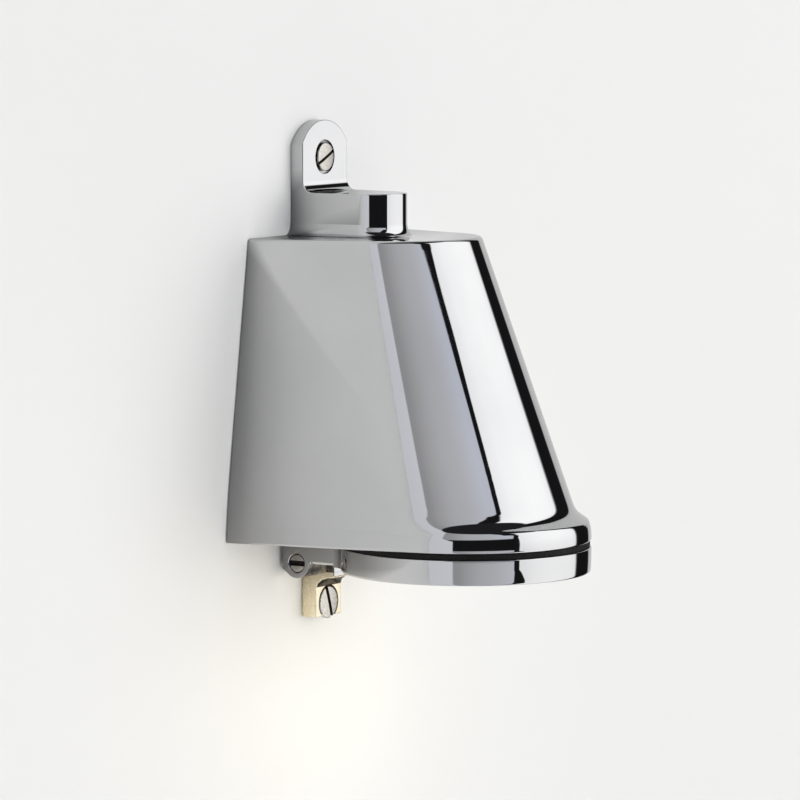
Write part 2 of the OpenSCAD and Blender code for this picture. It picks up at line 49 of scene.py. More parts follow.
# ------------------------------------------------------------ mesh helpers
def make(verts, faces):
    me = bpy.data.meshes.new("m")
    me.from_pydata([tuple(map(float, v)) for v in verts], [], faces)
    ob = bpy.data.objects.new("m", me)
    COL.objects.link(ob)
    outward(ob)
    return ob


def outward(ob):
    bm = bmesh.new()
    bm.from_mesh(ob.data)
    bmesh.ops.recalc_face_normals(bm, faces=bm.faces)
    if bm.calc_volume(signed=True) < 0:
        bmesh.ops.reverse_faces(bm, faces=bm.faces)
    bm.to_mesh(ob.data)
    bm.free()


def rings_solid(rings):
    """Closed solid through equal rings of 3-D points, with a cap on each end."""
    n, m = len(rings[0]), len(rings)
    verts = [p for g in rings for p in g]
    faces = [list(range(n))[::-1], [(m - 1) * n + i for i in range(n)]]
    for k in range(m - 1):
        for i in range(n):
            j = (i + 1) % n
            faces.append([k * n + i, k * n + j, (k + 1) * n + j, (k + 1) * n + i])
    return make(verts, faces)


AXES = {  # (r, h) round an axis, and (a, b, h) extruded along it
    "z": lambda a, b, h: (a, b, h),
    "d": lambda a, b, h: (a, h, b),
    "x": lambda a, b, h: (h, a, b),
}


def turned(profile, axis="z", at=(0, 0, 0), n=96):
    """Solid of revolution of a closed profile of (r, h) points."""
    f = AXES[axis]
    verts, index = [], []
    for r, h in profile:
        if r < 1e-6:
            index.append([len(verts)] * n)
            verts.append(f(0, 0, h))
        else:
            index.append(list(range(len(verts), len(verts) + n)))
            verts += [f(r * math.cos(t), r * math.sin(t), h)
                      for t in (2 * math.pi * i / n for i in range(n))]
    faces = []
    for k in range(len(profile)):
        a, b = index[k], index[(k + 1) % len(profile)]
        for i in range(n):
            j = (i + 1) % n
            q = []
            for v in (a[i], a[j], b[j], b[i]):
                if v not in q:
                    q.append(v)
            if len(q) > 2:
                faces.append(q)
    verts = [(v[0] + at[0], v[1] + at[1], v[2] + at[2]) for v in verts]
    return make(verts, faces)


def prism(poly, h0, h1, axis):
    """Extrusion. axis x takes (D, Z) points, d takes (X, Z), z takes (X, D)."""
    f = AXES[axis]
    n = len(poly)
    verts = [f(a, b, h0) for a, b in poly] + [f(a, b, h1) for a, b in poly]
    faces = [list(range(n))[::-1], list(range(n, 2 * n))]
    faces += [[i, (i + 1) % n, n + (i + 1) % n, n + i] for i in range(n)]
    return make(verts, faces)


def box(x0, x1, d0, d1, z0, z1):
    return prism([(x0, d0), (x1, d0), (x1, d1), (x0, d1)], z0, z1, "z")


def bar(r, h0, h1, axis, at, n=64, ch=0.0):
    """Round bar, with a small rounding ch on its two ends."""
    p = [(0, h0)] + rounded([(r, h0), (r, h1)], ch, closed_to=(0, h0, h1)) + [(0, h1)]
    return turned(p, axis, at, n)


def rounded(pts, rad, closed_to=None, seg=4):
    """The two outer corners of a bar's profile, rounded."""
    (r, h0), (_, h1) = pts
    if rad <= 0:
        return [(r, h0), (r, h1)]
    out = []
    for i in range(seg + 1):
        q = math.pi / 2 * i / seg
        out.append((r - rad + rad * math.sin(q), h0 + rad - rad * math.cos(q)))
    for i in range(seg + 1):
        q = math.pi / 2 * i / seg
        out.append((r - rad + rad * math.cos(q), h1 - rad + rad * math.sin(q)))
    return out


def soften(pts, radii, seg=5):
    """Closed polygon with each corner rounded to its radius (0 keeps it)."""
    out, n = [], len(pts)
    if not hasattr(radii, "__len__"):
        radii = [radii] * n
    for i in range(n):
        p = np.array(pts[i], float)
        a = np.array(pts[i - 1], float) - p
        b = np.array(pts[(i + 1) % n], float) - p
        la, lb = np.linalg.norm(a), np.linalg.norm(b)
        a, b = a / la, b / lb
        ang = math.acos(max(-1, min(1, float(a @ b))))
        r = radii[i]
        if r <= 0 or ang > math.pi - 0.02:
            out.append(tuple(p))
            continue
        t = min(r / math.tan(ang / 2), 0.49 * la, 0.49 * lb)
        r = t * math.tan(ang / 2)
        c = p + (a + b) / np.linalg.norm(a + b) * (r / math.sin(ang / 2))
        s, e = p + a * t - c, p + b * t - c
        a0 = math.atan2(s[1], s[0])
        da = (math.atan2(e[1], e[0]) - a0 + math.pi) % (2 * math.pi) - math.pi
        for k in range(seg + 1):
            q = a0 + da * k / seg
            out.append((c[0] + r * math.cos(q), c[1] + r * math.sin(q)))
    return out


def boolean(ob, other, op="DIFFERENCE", keep=False, solver="MANIFOLD"):
    m = ob.modifiers.new("b", "BOOLEAN")
    m.solver, m.operation, m.object = solver, op, other
    dg = bpy.context.evaluated_depsgraph_get()
    me = bpy.data.meshes.new_from_object(ob.evaluated_get(dg))
    ob.modifiers.clear()
    old = ob.data
    ob.data = me
    bpy.data.meshes.remove(old)
    if not keep:
        drop(other)
    return ob


def cut(ob, *others):
    for o in others:
        boolean(ob, o, "DIFFERENCE")
    return ob


def fuse(ob, *others):
    for o in others:
        boolean(ob, o, "UNION")
    return ob


def common(ob, *others):
    for o in others:
        boolean(ob, o, "INTERSECT")
    return ob


def drop(ob):
    me = ob.data
    bpy.data.objects.remove(ob)
    bpy.data.meshes.remove(me)


def bake(ob):
    """Applies the object's modifiers."""
    dg = bpy.context.evaluated_depsgraph_get()
    me = bpy.data.meshes.new_from_object(ob.evaluated_get(dg))
    ob.modifiers.clear()
    old = ob.data
    ob.data = me
    bpy.data.meshes.remove(old)
    return ob


def tidy(ob, dist=0.0005, flat=0.5):
    """Merges doubled points and the splits that a cut leaves in flat faces."""
    bm = bmesh.new()
    bm.from_mesh(ob.data)
    bmesh.ops.remove_doubles(bm, verts=bm.verts, dist=dist)
    bmesh.ops.dissolve_limit(bm, angle_limit=math.radians(flat), verts=bm.verts,
                             edges=bm.edges)
    bm.to_mesh(ob.data)
    bm.free()
    return ob


def bevel(ob, width, seg=3, angle=28):
    tidy(ob)
    m = ob.modifiers.new("v", "BEVEL")
    m.width, m.segments, m.limit_method = width, seg, "ANGLE"
    m.angle_limit = math.radians(angle)
    m.miter_outer = "MITER_ARC"
    m.use_clamp_overlap = True
    return bake(ob)


def done(ob, name, body, mats, replaces=(), sharp=32, pick=None):
    """Into the row frame, with normals, materials, body and replaced nodes."""
    me = ob.data
    n = len(me.vertices)
    co = np.zeros(n * 3, np.float32)
    me.vertices.foreach_get("co", co)
    co = co.reshape(-1, 3).astype(float)
    co = np.column_stack([co[:, 0], -co[:, 1], co[:, 2] - ORG]) * 0.001
    me.vertices.foreach_set("co", co.astype(np.float32).ravel())
    me.flip_normals()
    me.update()
    me.materials.clear()
    for m in mats:
        me.materials.append(m)
    if pick is not None:
        c = np.zeros(len(me.polygons) * 3, np.float32)
        nn = np.zeros(len(me.polygons) * 3, np.float32)
        me.polygons.foreach_get("center", c)
        me.polygons.foreach_get("normal", nn)
        c = c.reshape(-1, 3) * 1000
        nn = nn.reshape(-1, 3)
        idx = pick(c[:, 0], -c[:, 1], c[:, 2] + ORG, nn[:, 0], -nn[:, 1], nn[:, 2])
        me.polygons.foreach_set("material_index", idx.astype(np.int32))
    me.polygons.foreach_set("use_smooth", [True] * len(me.polygons))
    me.set_sharp_from_angle(angle=math.radians(sharp))
    w = ob.modifiers.new("normals", "WEIGHTED_NORMAL")
    w.keep_sharp, w.weight = True, 50
    ob.name = name
    me.name = name
    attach(ob, body)
    if replaces:
        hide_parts(*replaces)
    return ob


# -------------------------------------------------------- node-tree helpers
class Mat:
    def __init__(self, name, **kw):
        self.m = bpy.data.materials.new(name)
        self.m.use_nodes = True
        self.t = self.m.node_tree
        self.p = self.t.nodes["Principled BSDF"]
        self.co = self.node("ShaderNodeTexCoord").outputs["Object"]
        for k, v in kw.items():
            self.p.inputs[k.replace("_", " ")].default_value = v

    def node(self, kind, **kw):
        n = self.t.nodes.new(kind)
        for k, v in kw.items():
            setattr(n, k, v)
        return n

    def link(self, a, b):
        self.t.links.new(a, b)

    def noise(self, scale, detail=2.0, rough=0.5, stretch=None, dist=0.0):
        n = self.node("ShaderNodeTexNoise")
        n.inputs["Scale"].default_value = scale
        n.inputs["Detail"].default_value = detail
        n.inputs["Roughness"].default_value = rough
        n.inputs["Distortion"].default_value = dist
        src = self.co
        if stretch:
            mp = self.node("ShaderNodeMapping")
            mp.inputs["Scale"].default_value = stretch
            self.link(src, mp.inputs["Vector"])
            src = mp.outputs["Vector"]
        self.link(src, n.inputs["Vector"])
        return n.outputs["Fac"]

    def radius(self, at, axis):
        """Distance from an axis through the point, both in the row frame."""
        mp = self.node("ShaderNodeMapping")
        mp.vector_type = "POINT"
        mp.inputs["Location"].default_value = [-c * s for c, s in zip(at, axis)]
        mp.inputs["Scale"].default_value = axis
        self.link(self.co, mp.inputs["Vector"])
        ln = self.node("ShaderNodeVectorMath", operation="LENGTH")
        self.link(mp.outputs["Vector"], ln.inputs[0])
        return ln.outputs["Value"]

    def wave(self, src, pitch, profile="SIN"):
        """0..1 wave of a length, with the given pitch in metres."""
        mul = self.node("ShaderNodeMath", operation="MULTIPLY")
        mul.inputs[1].default_value = 2 * math.pi / pitch
        self.link(src, mul.inputs[0])
        sn = self.node("ShaderNodeMath", operation="SINE")
        self.link(mul.outputs[0], sn.inputs[0])
        return self.span(sn.outputs[0], 0, 1, -1, 1)

    def span(self, src, lo, hi, a=0.0, b=1.0):
        n = self.node("ShaderNodeMapRange")
        n.inputs["From Min"].default_value = a
        n.inputs["From Max"].default_value = b
        n.inputs["To Min"].default_value = lo
        n.inputs["To Max"].default_value = hi
        self.link(src, n.inputs["Value"])
        return n.outputs["Result"]

    def mixed(self, fac, c0, c1, lo=0.3, hi=0.7):
        r = self.node("ShaderNodeValToRGB")
        r.color_ramp.elements[0].position = lo
        r.color_ramp.elements[1].position = hi
        r.color_ramp.elements[0].color = (*c0, 1)
        r.color_ramp.elements[1].color = (*c1, 1)
        self.link(fac, r.inputs["Fac"])
        return r.outputs["Color"]

    def bump(self, src, dist, strength=1.0, after=None):
        b = self.node("ShaderNodeBump")
        b.inputs["Strength"].default_value = strength
        b.inputs["Distance"].default_value = dist
        self.link(src, b.inputs["Height"])
        if after is not None:
            self.link(after, b.inputs["Normal"])
        self.link(b.outputs["Normal"], self.p.inputs["Normal"])
        return b.outputs["Normal"]

    def set(self, name, out):
        self.link(out, self.p.inputs[name])


def chrome():
    m = Mat("chrome_polished", Metallic=1.0)
    m.set("Base Color", m.mixed(m.noise(34, 3), (0.545, 0.548, 0.556),
                                (0.585, 0.586, 0.592)))
    # A thin haze of handling and polishing, here and there
    m.set("Roughness", m.span(m.noise(120, 5, 0.6), 0.018, 0.05, 0.3, 0.75))
    n = m.bump(m.noise(26, 1, 0.4), 6e-6)
    n = m.bump(m.noise(620, 2, 0.5, stretch=(1, 1, 0.12)), 9e-8, after=n)
    return m.m


def chrome_satin_painted_glow():
    """Plating on the wall tab, less polished than the body; its warm pale colour is painted lamp
    light.
    """
    m = Mat("chrome_satin_painted_glow", Metallic=1.0)
    m.set("Base Color", m.mixed(m.noise(260, 5, 0.6), (0.84, 0.74, 0.53),
                                (0.93, 0.84, 0.64)))
    m.set("Roughness", m.span(m.noise(520, 4), 0.2, 0.34, 0.3, 0.7))
    n = m.bump(m.noise(190, 2, 0.5), 0.00002)
    m.bump(m.noise(2600, 3), 0.0000025, after=n)
    return m.m


def raw_casting():
    m = Mat("casting_inside", Metallic=1.0)
    m.set("Base Color", m.mixed(m.noise(210, 6, 0.7), (0.2, 0.195, 0.185),
                                (0.36, 0.35, 0.33)))
    m.set("Roughness", m.span(m.noise(400, 4), 0.42, 0.7, 0.3, 0.7))
    n = m.bump(m.noise(900, 6, 0.65), 0.00012)
    m.bump(m.noise(90, 3), 0.0003, after=n)
    return m.m


def ground_back():
    m = Mat("casting_back", Metallic=1.0)
    g = m.noise(900, 5, 0.6, stretch=(1, 1, 0.03))
    m.set("Base Color", m.mixed(g, (0.38, 0.38, 0.38), (0.56, 0.56, 0.55)))
    m.set("Roughness", m.span(m.noise(300, 4), 0.26, 0.45, 0.3, 0.7))
    m.bump(g, 0.00002)
    return m.m


def plated_sheet():
    m = Mat("zinc_plated_sheet", Metallic=1.0)
    v = m.node("ShaderNodeTexVoronoi")
    v.inputs["Scale"].default_value = 130
    m.link(m.co, v.inputs["Vector"])
    s = m.node("ShaderNodeSeparateColor")
    m.link(v.outputs["Color"], s.inputs["Color"])
    m.set("Base Color", m.mixed(s.outputs["Red"], (0.52, 0.54, 0.55),
                                (0.66, 0.67, 0.66), 0.0, 1.0))
    m.set("Roughness", m.span(s.outputs["Green"], 0.24, 0.42))
    m.bump(m.noise(1500, 3, 0.6), 0.000006)
    return m.m


def screw_metal(name, at, axis, c0, c1, rough=(0.16, 0.3)):
    """Turned head: fine rings round the axis through at."""
    m = Mat(name, Metallic=1.0)
    r = m.radius(at, axis)
    m.set("Base Color", m.mixed(m.noise(1200, 5, 0.6), c0, c1))
    m.set("Roughness", m.span(m.noise(2300, 4), rough[0], rough[1], 0.3, 0.7))
    n = m.bump(m.wave(r, 0.00016), 0.0000022)
    m.bump(m.noise(5200, 3), 0.000004, after=n)
    return m.m


def metal(name, c0, c1, r0, r1, scale=900, bump=0.000006):
    m = Mat(name, Metallic=1.0)
    f = m.noise(scale, 5, 0.6)
    m.set("Base Color", m.mixed(f, c0, c1))
    m.set("Roughness", m.span(m.noise(scale * 1.7, 3), r0, r1, 0.3, 0.7))
    m.bump(f, bump)
    return m.m


def dull(name, c0, c1, r0, r1, scale=700, bump=0.00002, **kw):
    m = Mat(name, **kw)
    f = m.noise(scale, 6, 0.6)
    m.set("Base Color", m.mixed(f, c0, c1))
    m.set("Roughness", m.span(m.noise(scale * 0.6, 3), r0, r1, 0.3, 0.7))
    m.bump(m.noise(scale * 3, 3), bump)
    return m.m


def glass(name, tint, rough, bump=2e-6, scale=300, ior=1.5):
    m = Mat(name, Transmission_Weight=1.0, IOR=ior)
    m.set("Base Color", m.mixed(m.noise(60, 2), tint, (1, 1, 1), 0.2, 0.8))
    m.set("Roughness", m.span(m.noise(scale, 3), rough[0], rough[1], 0.3, 0.7))
    m.bump(m.noise(45, 2), bump)
    return m.m


def spun(name, at, c0, c1):
    m = Mat(name, Metallic=1.0)
    r = m.radius(at, (1, 1, 0))
    m.set("Base Color", m.mixed(m.noise(160, 4), c0, c1))
    m.set("Roughness", m.span(m.noise(900, 4), 0.1, 0.22, 0.3, 0.7))
    m.bump(m.wave(r, 0.00035), 0.000004)
    return m.m


def row(x, d, z):
    return (x * 0.001, -d * 0.001, (z - ORG) * 0.001)


M = {
    "chrome_casting": chrome(),
    "satin_painted_glow": chrome_satin_painted_glow(),
    "raw": raw_casting(),
    "back": ground_back(),
    # Screw slots: dark faces that paint the shade inside the slots
    "slot": metal("screw_slot", (0.02, 0.014, 0.014), (0.06, 0.05, 0.048), 0.4, 0.65,
                  2200, 0.00001),
    "slot_shade_warm": metal("screw_slot_shade_warm", (0.09, 0.075, 0.05), (0.2, 0.17, 0.13), 0.4,
                       0.65, 2200, 0.00001),
    # Hinge cheeks: near-black painted shade between the arms, mottled with painted glints
    "hinge_shade_glints": metal("hinge_painted_shade", (0.03, 0.025, 0.02), (0.3, 0.27, 0.23), 0.22,
                   0.42, 420, 0.00004),
    # Lower screw's recess: dark brown painted shade
    "recess": metal("recess_unplated", (0.055, 0.042, 0.026), (0.15, 0.125, 0.09), 0.3,
                    0.5, 700, 0.00003),
    "plated_sheet": plated_sheet(),
    "seal_rubber": dull("seal_rubber", (0.006, 0.006, 0.0065), (0.015, 0.014, 0.014),
                        0.5, 0.72, 1500, 0.00001, Specular_IOR_Level=0.12),
    "steel_screw": metal("steel_screw", (0.5, 0.5, 0.49), (0.64, 0.63, 0.61),
                         0.2, 0.34, 1700),
    "nickel_upper": screw_metal("nickel_upper", row(0, 0, 112.9), (1, 0, 1),
                                (0.47, 0.45, 0.41), (0.61, 0.59, 0.55)),
    "nickel_lower": screw_metal("nickel_lower", row(0, 0, -22.5), (1, 0, 1),
                                (0.50, 0.47, 0.42), (0.63, 0.60, 0.55)),
    "nickel_pin": screw_metal("nickel_pin", row(0, 6.2, -8.6), (0, 1, 1),
                              (0.5, 0.48, 0.46), (0.66, 0.63, 0.59)),
    "nickel_closing": screw_metal("nickel_closing", row(0, 88.1, 0), (1, 1, 0),
                                  (0.56, 0.53, 0.48), (0.7, 0.67, 0.6)),
    "spring_steel": metal("spring_steel", (0.2, 0.2, 0.21), (0.32, 0.32, 0.33),
                          0.22, 0.4, 1500),
    "lamp_wire": metal("lamp_wire", (0.55, 0.55, 0.56), (0.7, 0.7, 0.7), 0.15, 0.3),
    "terminal_plastic": dull("terminal_plastic", (0.72, 0.7, 0.63),
                             (0.8, 0.78, 0.72), 0.32, 0.48, 500, 0.000008),
    "brass_part": metal("brass_part", (0.62, 0.44, 0.16), (0.78, 0.58, 0.26),
                        0.18, 0.34),
    "tinned_copper": metal("tinned_copper", (0.6, 0.57, 0.52), (0.74, 0.7, 0.64),
                           0.24, 0.4),
    "ceramic": dull("ceramic", (0.8, 0.78, 0.72), (0.88, 0.87, 0.82), 0.28, 0.5,
                    650, 0.000015, Subsurface_Weight=0.05),
    "spun_aluminium": spun("spun_aluminium", row(0, 53, 0), (0.78, 0.79, 0.8),
                           (0.88, 0.89, 0.9)),
    "turned_aluminium": spun("turned_aluminium", row(0, 54.5, 0),
                             (0.66, 0.67, 0.68), (0.78, 0.79, 0.8)),
    "lamp_glass": glass("lamp_glass", (0.985, 0.985, 0.98), (0.0, 0.03)),
    "lens_glass": glass("lens_glass", (0.93, 0.97, 0.965), (0.02, 0.14), 6e-6),
    "lead_brown": dull("lead_brown", (0.13, 0.05, 0.02), (0.18, 0.07, 0.03),
                       0.35, 0.55, 900, 0.00001),
    "lead_blue": dull("lead_blue", (0.02, 0.07, 0.3), (0.03, 0.1, 0.38),
                      0.35, 0.55, 900, 0.00001),
    "lead_green_yellow": None,
}


def earth_lead():
    """Green and yellow insulation in stripes round the wire."""
    m = Mat("lead_green_yellow")
    w = m.wave(m.noise(70, 0, 0, stretch=(1, 1, 1)), 0.35)
    m.set("Base Color", m.mixed(w, (0.02, 0.2, 0.04), (0.62, 0.52, 0.03), 0.47, 0.53))
    m.set("Roughness", m.span(m.noise(600, 3), 0.35, 0.55, 0.3, 0.7))
    m.bump(m.noise(2500, 3), 0.000008)
    return m.m


def hot_wire():
    m = Mat("lamp_filament", Metallic=1.0, Emission_Strength=24.0)
    f = m.noise(1500, 3)
    m.set("Base Color", m.mixed(f, (0.35, 0.33, 0.3), (0.5, 0.46, 0.4)))
    m.set("Emission Color", m.mixed(f, (1.0, 0.62, 0.26), (1.0, 0.78, 0.44)))
    m.set("Roughness", m.span(f, 0.3, 0.5))
    m.bump(f, 0.000004)
    return m.m


M["lead_green_yellow"] = earth_lead()
M["lamp_filament"] = hot_wire()

# --------------------------------------------------------------- the body
BODY_H, BHB, BHT = 89.8, 47.05, 35.1
WS = (BHB - 2.5 - BHT) / (BODY_H - 24)
RC, RR, MOUTH = 54.5, 37.5, 30.0


def back_half(z):
    if z > 24:
        return BHB - 2.5 - WS * (z - 24)
    return BHB - 2.5 * (max(z, 0) / 24) ** (WS * 24 / 2.5)


def cone_r(z): return 26.4 + 0.134 * (BODY_H - z)
def cone_c(z): return 28.8 + 0.25 * (BODY_H - z)


def blend(z):
    return 0.0 if z <= 6.1 else 1.0 if z >= 12.2 else 1 - ((12.2 - z) / 6.1) ** 4.6


def col_r(z): return 37.5 - 0.95 * (min(max(z, 0), 6.1) / 6.1) ** 3


# Radius and centre against height, with the collar's upper corner eased
_z = np.arange(-4, 95, 0.05)
_r = np.array([(1 - blend(z)) * col_r(z) + blend(z) * cone_r(z) for z in _z])
_c = np.array([(1 - blend(z)) * RC + blend(z) * cone_c(z) for z in _z])
_k = np.exp(-0.5 * (np.arange(-30, 31) * 0.05 / 0.27) ** 2)
_k /= _k.sum()
_on = (_z > -1) & (_z < 20)
_rs, _cs = _r.copy(), _c.copy()
_rs[_on] = np.convolve(_r, _k, "same")[_on]
_cs[_on] = np.convolve(_c, _k, "same")[_on]


def skin_r(z): return float(np.interp(z, _z, _rs))
def skin_c(z): return float(np.interp(z, _z, _cs))


SIDE_N, ARC_N, COR_N, COR_R = 10, 132, 4, 0.4


def outline(z, inset, w=None, c=None, r=None, y0=0.0):
    """Right back corner, right side, nose, left side, left back corner."""
    w = back_half(z) if w is None else w
    c = skin_c(z) if c is None else c
    r = (skin_r(z) if r is None else r) - inset
    r0 = r + inset
    a = math.acos(r0 / math.hypot(w, c)) - math.atan2(c, w)
    w = w - inset / math.cos(a)
    t = np.array([r * math.cos(a), c + r * math.sin(a)])
    base = np.array([w, 0.0])
    side = (t - base) / np.linalg.norm(t - base)
    base = base + side * (y0 / side[1])
    # Corner between the back plane and the side
    u, v = np.array([-1.0, 0.0]), side
    ang = math.acos(float(u @ v))
    tl = COR_R / math.tan(ang / 2)
    cc = base + (u + v) / np.linalg.norm(u + v) * (COR_R / math.sin(ang / 2))
    s, e = base + u * tl - cc, base + v * tl - cc
    a0 = math.atan2(s[1], s[0])
    da = (math.atan2(e[1], e[0]) - a0 + math.pi) % (2 * math.pi) - math.pi
    right = [(cc[0] + COR_R * math.cos(a0 + da * k / COR_N),
              cc[1] + COR_R * math.sin(a0 + da * k / COR_N)) for k in range(COR_N + 1)]
    p0 = base + v * tl
    right += [tuple(p0 + (t - p0) * k / SIDE_N) for k in range(1, SIDE_N)]
    arc = [(r * math.cos(q), c + r * math.sin(q))
           for q in (a + (math.pi - 2 * a) * i / ARC_N for i in range(ARC_N + 1))]
    left = [(-x, y) for x, y in right[::-1]]
    return [(x, y, z) for x, y in right + arc + left]


def skin():
    rb, rt = 0.6, 0.9
    rings = []
    for i in range(7):
        q = math.pi / 2 * i / 6
        z, s = rb * (1 - math.cos(q)), rb * (1 - math.sin(q))
        rings.append([(x, y, z) for x, y, _ in outline(max(z, 0.02), s)])
    zs = list(np.arange(1.1, 5.0, 0.4)) + list(np.arange(5.0, 7.6, 0.13)) + \
        list(np.arange(7.6, 12.8, 0.26)) + [13.6, 15, 17, 19, 21, 23, 25, 30, 38, 46, 54,
                                            62, 70, 77, 83, 87, BODY_H - rt]
    rings += [outline(z, 0) for z in zs]
    for i in range(1, 8):
        q = math.pi / 2 * i / 7
        z, s = BODY_H - rt + rt * math.sin(q), rt * (1 - math.cos(q))
        rings.append([(x, y, z) for x, y, _ in outline(z, s)])
    return rings_solid(rings)


def back_shape(inset, z0, z1):
    return [(-back_half(z0) + inset, z0), (back_half(z0) - inset, z0),
            (back_half(z1) - inset, z1), (-back_half(z1) + inset, z1)]


LW, LR, LC = 12.4, 10.3, 21.4  # block: half width at the wall, nose radius, its centre


def stadium(off, n=84, back=0.0):
    """Block outline seen from above: two sides that close in on a round front."""
    a = math.acos(LR / math.hypot(LW, LC)) - math.atan2(LC, LW)
    r = LR + off
    w = (r + (LC - back) * math.sin(a)) / math.cos(a)
    arc = [(r * math.cos(q), LC + r * math.sin(q))
           for q in (a + (math.pi - 2 * a) * i / n for i in range(n + 1))]
    return [(w, back)] + arc + [(-w, back)]


def block_and_lug():
    f = 3.4
    cx, cz = 4.2 + f, 102.6 + f
    fil = [(cx - f * math.cos(q), cz - f * math.sin(q))
           for q in (math.pi / 2 * i / 14 for i in range(15))]
    side = [(0, 80), (40, 80), (40, 102.6)] + fil[::-1] + [(4.2, 130), (0, 130)]
    ob = prism(side, -20, 20, "x")
    plan = prism(stadium(0), 79, 131, "z")
    top = [(-14.2, 79), (14.2, 79)] + [(14.2 * math.cos(q), 109.9 + 14.2 * math.sin(q))
                                       for q in (math.pi * i / 64 for i in range(65))]
    front = prism(top, -1, 45, "d")
    common(ob, plan, front)
    bevel(ob, 0.3, 3, 24)
    return ob


def foot():
    """Concave sweep between the block's walls and the body's top."""
    wide, tall, n = 2.9, 3.6, 12
    rings = []
    prof = [(wide, 88.2), (wide, BODY_H - 0.004)]
    for i in range(1, n + 1):
        q = math.pi / 2 * i / n
        prof.append((wide * (1 - math.sin(q)) + 0.012, BODY_H + tall * (1 - math.cos(q))))
    prof += [(-0.6, BODY_H + tall + 0.02)]
    for off, z in prof:
        rings.append([(x, y, z) for x, y in stadium(off, back=0.02)])
    return rings_solid(rings)


def build_body():
    ob = skin()
    top = block_and_lug()
    low = prism([(0.0, -11), (0.0, -26.6), (5.2, -26.6), (5.2, -17.4), (5.7, -16.1),
                 (7.2, -14.9), (9, -14.3), (11.2, -14.1), (11.8, -13.6), (11.8, -11)],
                -6.8, 6.8, "x")
    bevel(low, 0.28, 3, 35)
    knuckle = prism([(0.0, 0.5), (0.0, -12.5), (11.86, -12.5), (11.86, 0.5)],
                    -6.86, 6.86, "x")
    fuse(low, bevel(knuckle, 0.25, 3, 35))
    a = 11.7
    barrel = bar(4.5, -a, a, "x", (0, 6.2, -8.6), 72, 0.25)
    up = prism([(0.4, 0.5), (0.4, -8.6), (10.7, -8.6), (10.7, 0.5)], -a, a, "x")
    bevel(up, 0.2, 2, 35)
    fuse(ob, top, foot(), up, barrel, low)
    cav = rings_solid([[(x, y, z) for x, y, _ in outline(z, 0, back_half(z) - 3.3,
                        cone_c(z), cone_r(z) - 3.2, 6.0)]
                       for z in (8.4, 14, 20, 30, 45, 60, 75, 86.3)])
    mouth = turned([(0, -1), (31.2, -1), (30.5, 0.0), (30.15, 0.18), (30, 0.6), (30, 8.6),
                    (0, 8.6)], "z", (0, RC, 0), 192)
    hole = prism(soften(back_shape(6.9, 9, 83.2), 2.0), -1, 6.2, "d")
    cut(ob, cav, mouth, hole)
    plate = [(-36.6, 15), (36.6, 15), (28.2, 78.6), (-28.2, 78.6)]
    for x, z in plate:
        fuse(ob, bar(3.6, 3.6, 11, "d", (x, 0, z), 40, 0.3))
    cut(ob, prism(soften(back_shape(3.4, 5.2, 86.4), 1.2), -1, 3.6, "d"))
    for x, z in plate:
        cut(ob, bar(1.5, 0, 10, "d", (x, 0, z), 28))
    # Upper wall screw: through hole and counterbore with an eased mouth
    cut(ob, bar(2.4, -1, 5.2, "d", (0, 0, 112.9), 48),
        turned([(0, 2), (5.15, 2), (5.15, 4.02), (5.2, 4.12), (5.34, 4.2), (5.6, 4.24),
                (5.6, 5.2), (0, 5.2)], "d", (0, 0, 112.9), 96))
    # Lower wall screw: through hole and open recess
    cut(ob, bar(2.4, -1, 6.2, "d", (0, 0, -22.5), 48),
        bar(5.35, 3.5, 14.2, "d", (0, 0, -22.45), 96),
        turned([(0, 5.21), (6.9, 5.21), (6.9, 14.2), (0, 14.2)], "d", (0, 0, -22.2), 96))
    cut(ob, bar(1.8, -20, 20, "x", (0, 6.2, -8.6), 48))
    cut(ob, bar(2.4, -1, 5.6, "z", (0, 88.1, 0), 40),
        bar(3.2, -1, 1.2, "z", (0, 88.1, 0), 48))
    tidy(ob, 0.002, 0.05)

    def pick(x, d, z, nx, nd, nz):
        idx = np.zeros(len(x), int)
        inside = (z > 0.9) & (z < 88) & (d > 3.4) & (np.abs(nz) < 2)
        # Inside faces: behind the skin by more than half the wall
        cr = np.array([cone_r(v) for v in z]) - 1.2
        cc = np.array([cone_c(v) for v in z])
        bh = np.array([back_half(v) for v in z])
        t = np.array([math.acos(min(1, (r + 1.2) / math.hypot(w, c))) - math.atan2(c, w)
                      for r, c, w in zip(cr, cc, bh)])
        line = x * 0 + (cr + cc * np.sin(t))
        within = (np.abs(x) * np.cos(t) + d * np.sin(t) < line) & \
            (np.hypot(x, d - cc) < np.maximum(cr, 0) + 400 * (d < cc))
        within &= (d < cc) | (np.hypot(x, d - cc) < cr)
        mouthed = (z > 0.9) & (z < 8.7) & (np.hypot(x, d - RC) < 30.4)
        idx[inside & within & ((z > 8.3) | mouthed)] = 1
        idx[mouthed] = 1
        idx[(d < 3.7) & (np.abs(x) < bh - 3.2) & (z > 5.0) & (z < 86.6)] = 1
        # Tab in satin whose warm colour is painted lamp light; hinge cheeks in painted shade
        # with painted glints, and the lower screw's recess in painted shade
        idx[(z < -0.3) & (z > -13.2) & (np.abs(x) < 12) & (np.abs(nx) > 0.5)] = 4
        idx[(z < -8.4) & (z > -13.2) & (d > 7) & (d < 10.8) & (np.abs(x) < 12)] = 4
        idx[(z <= -13.3) & (np.abs(x) < 7)] = 3
        rec = np.hypot(x, z + 22.2)
        idx[(z < -13) & (rec < 6.94) & (d > 1.99) & ((d > 5.205) | (rec < 5.6))
            & ((d < 5.19) | (d > 5.205))] = 5
        idx[(d < 0.02) & (nd < -0.9)] = 2
        return idx

    done(ob, "body_shell", "housing",
         [M["chrome_casting"], M["raw"], M["back"], M["satin_painted_glow"], M["hinge_shade_glints"], M["recess"]],
         ["body"], pick=pick)


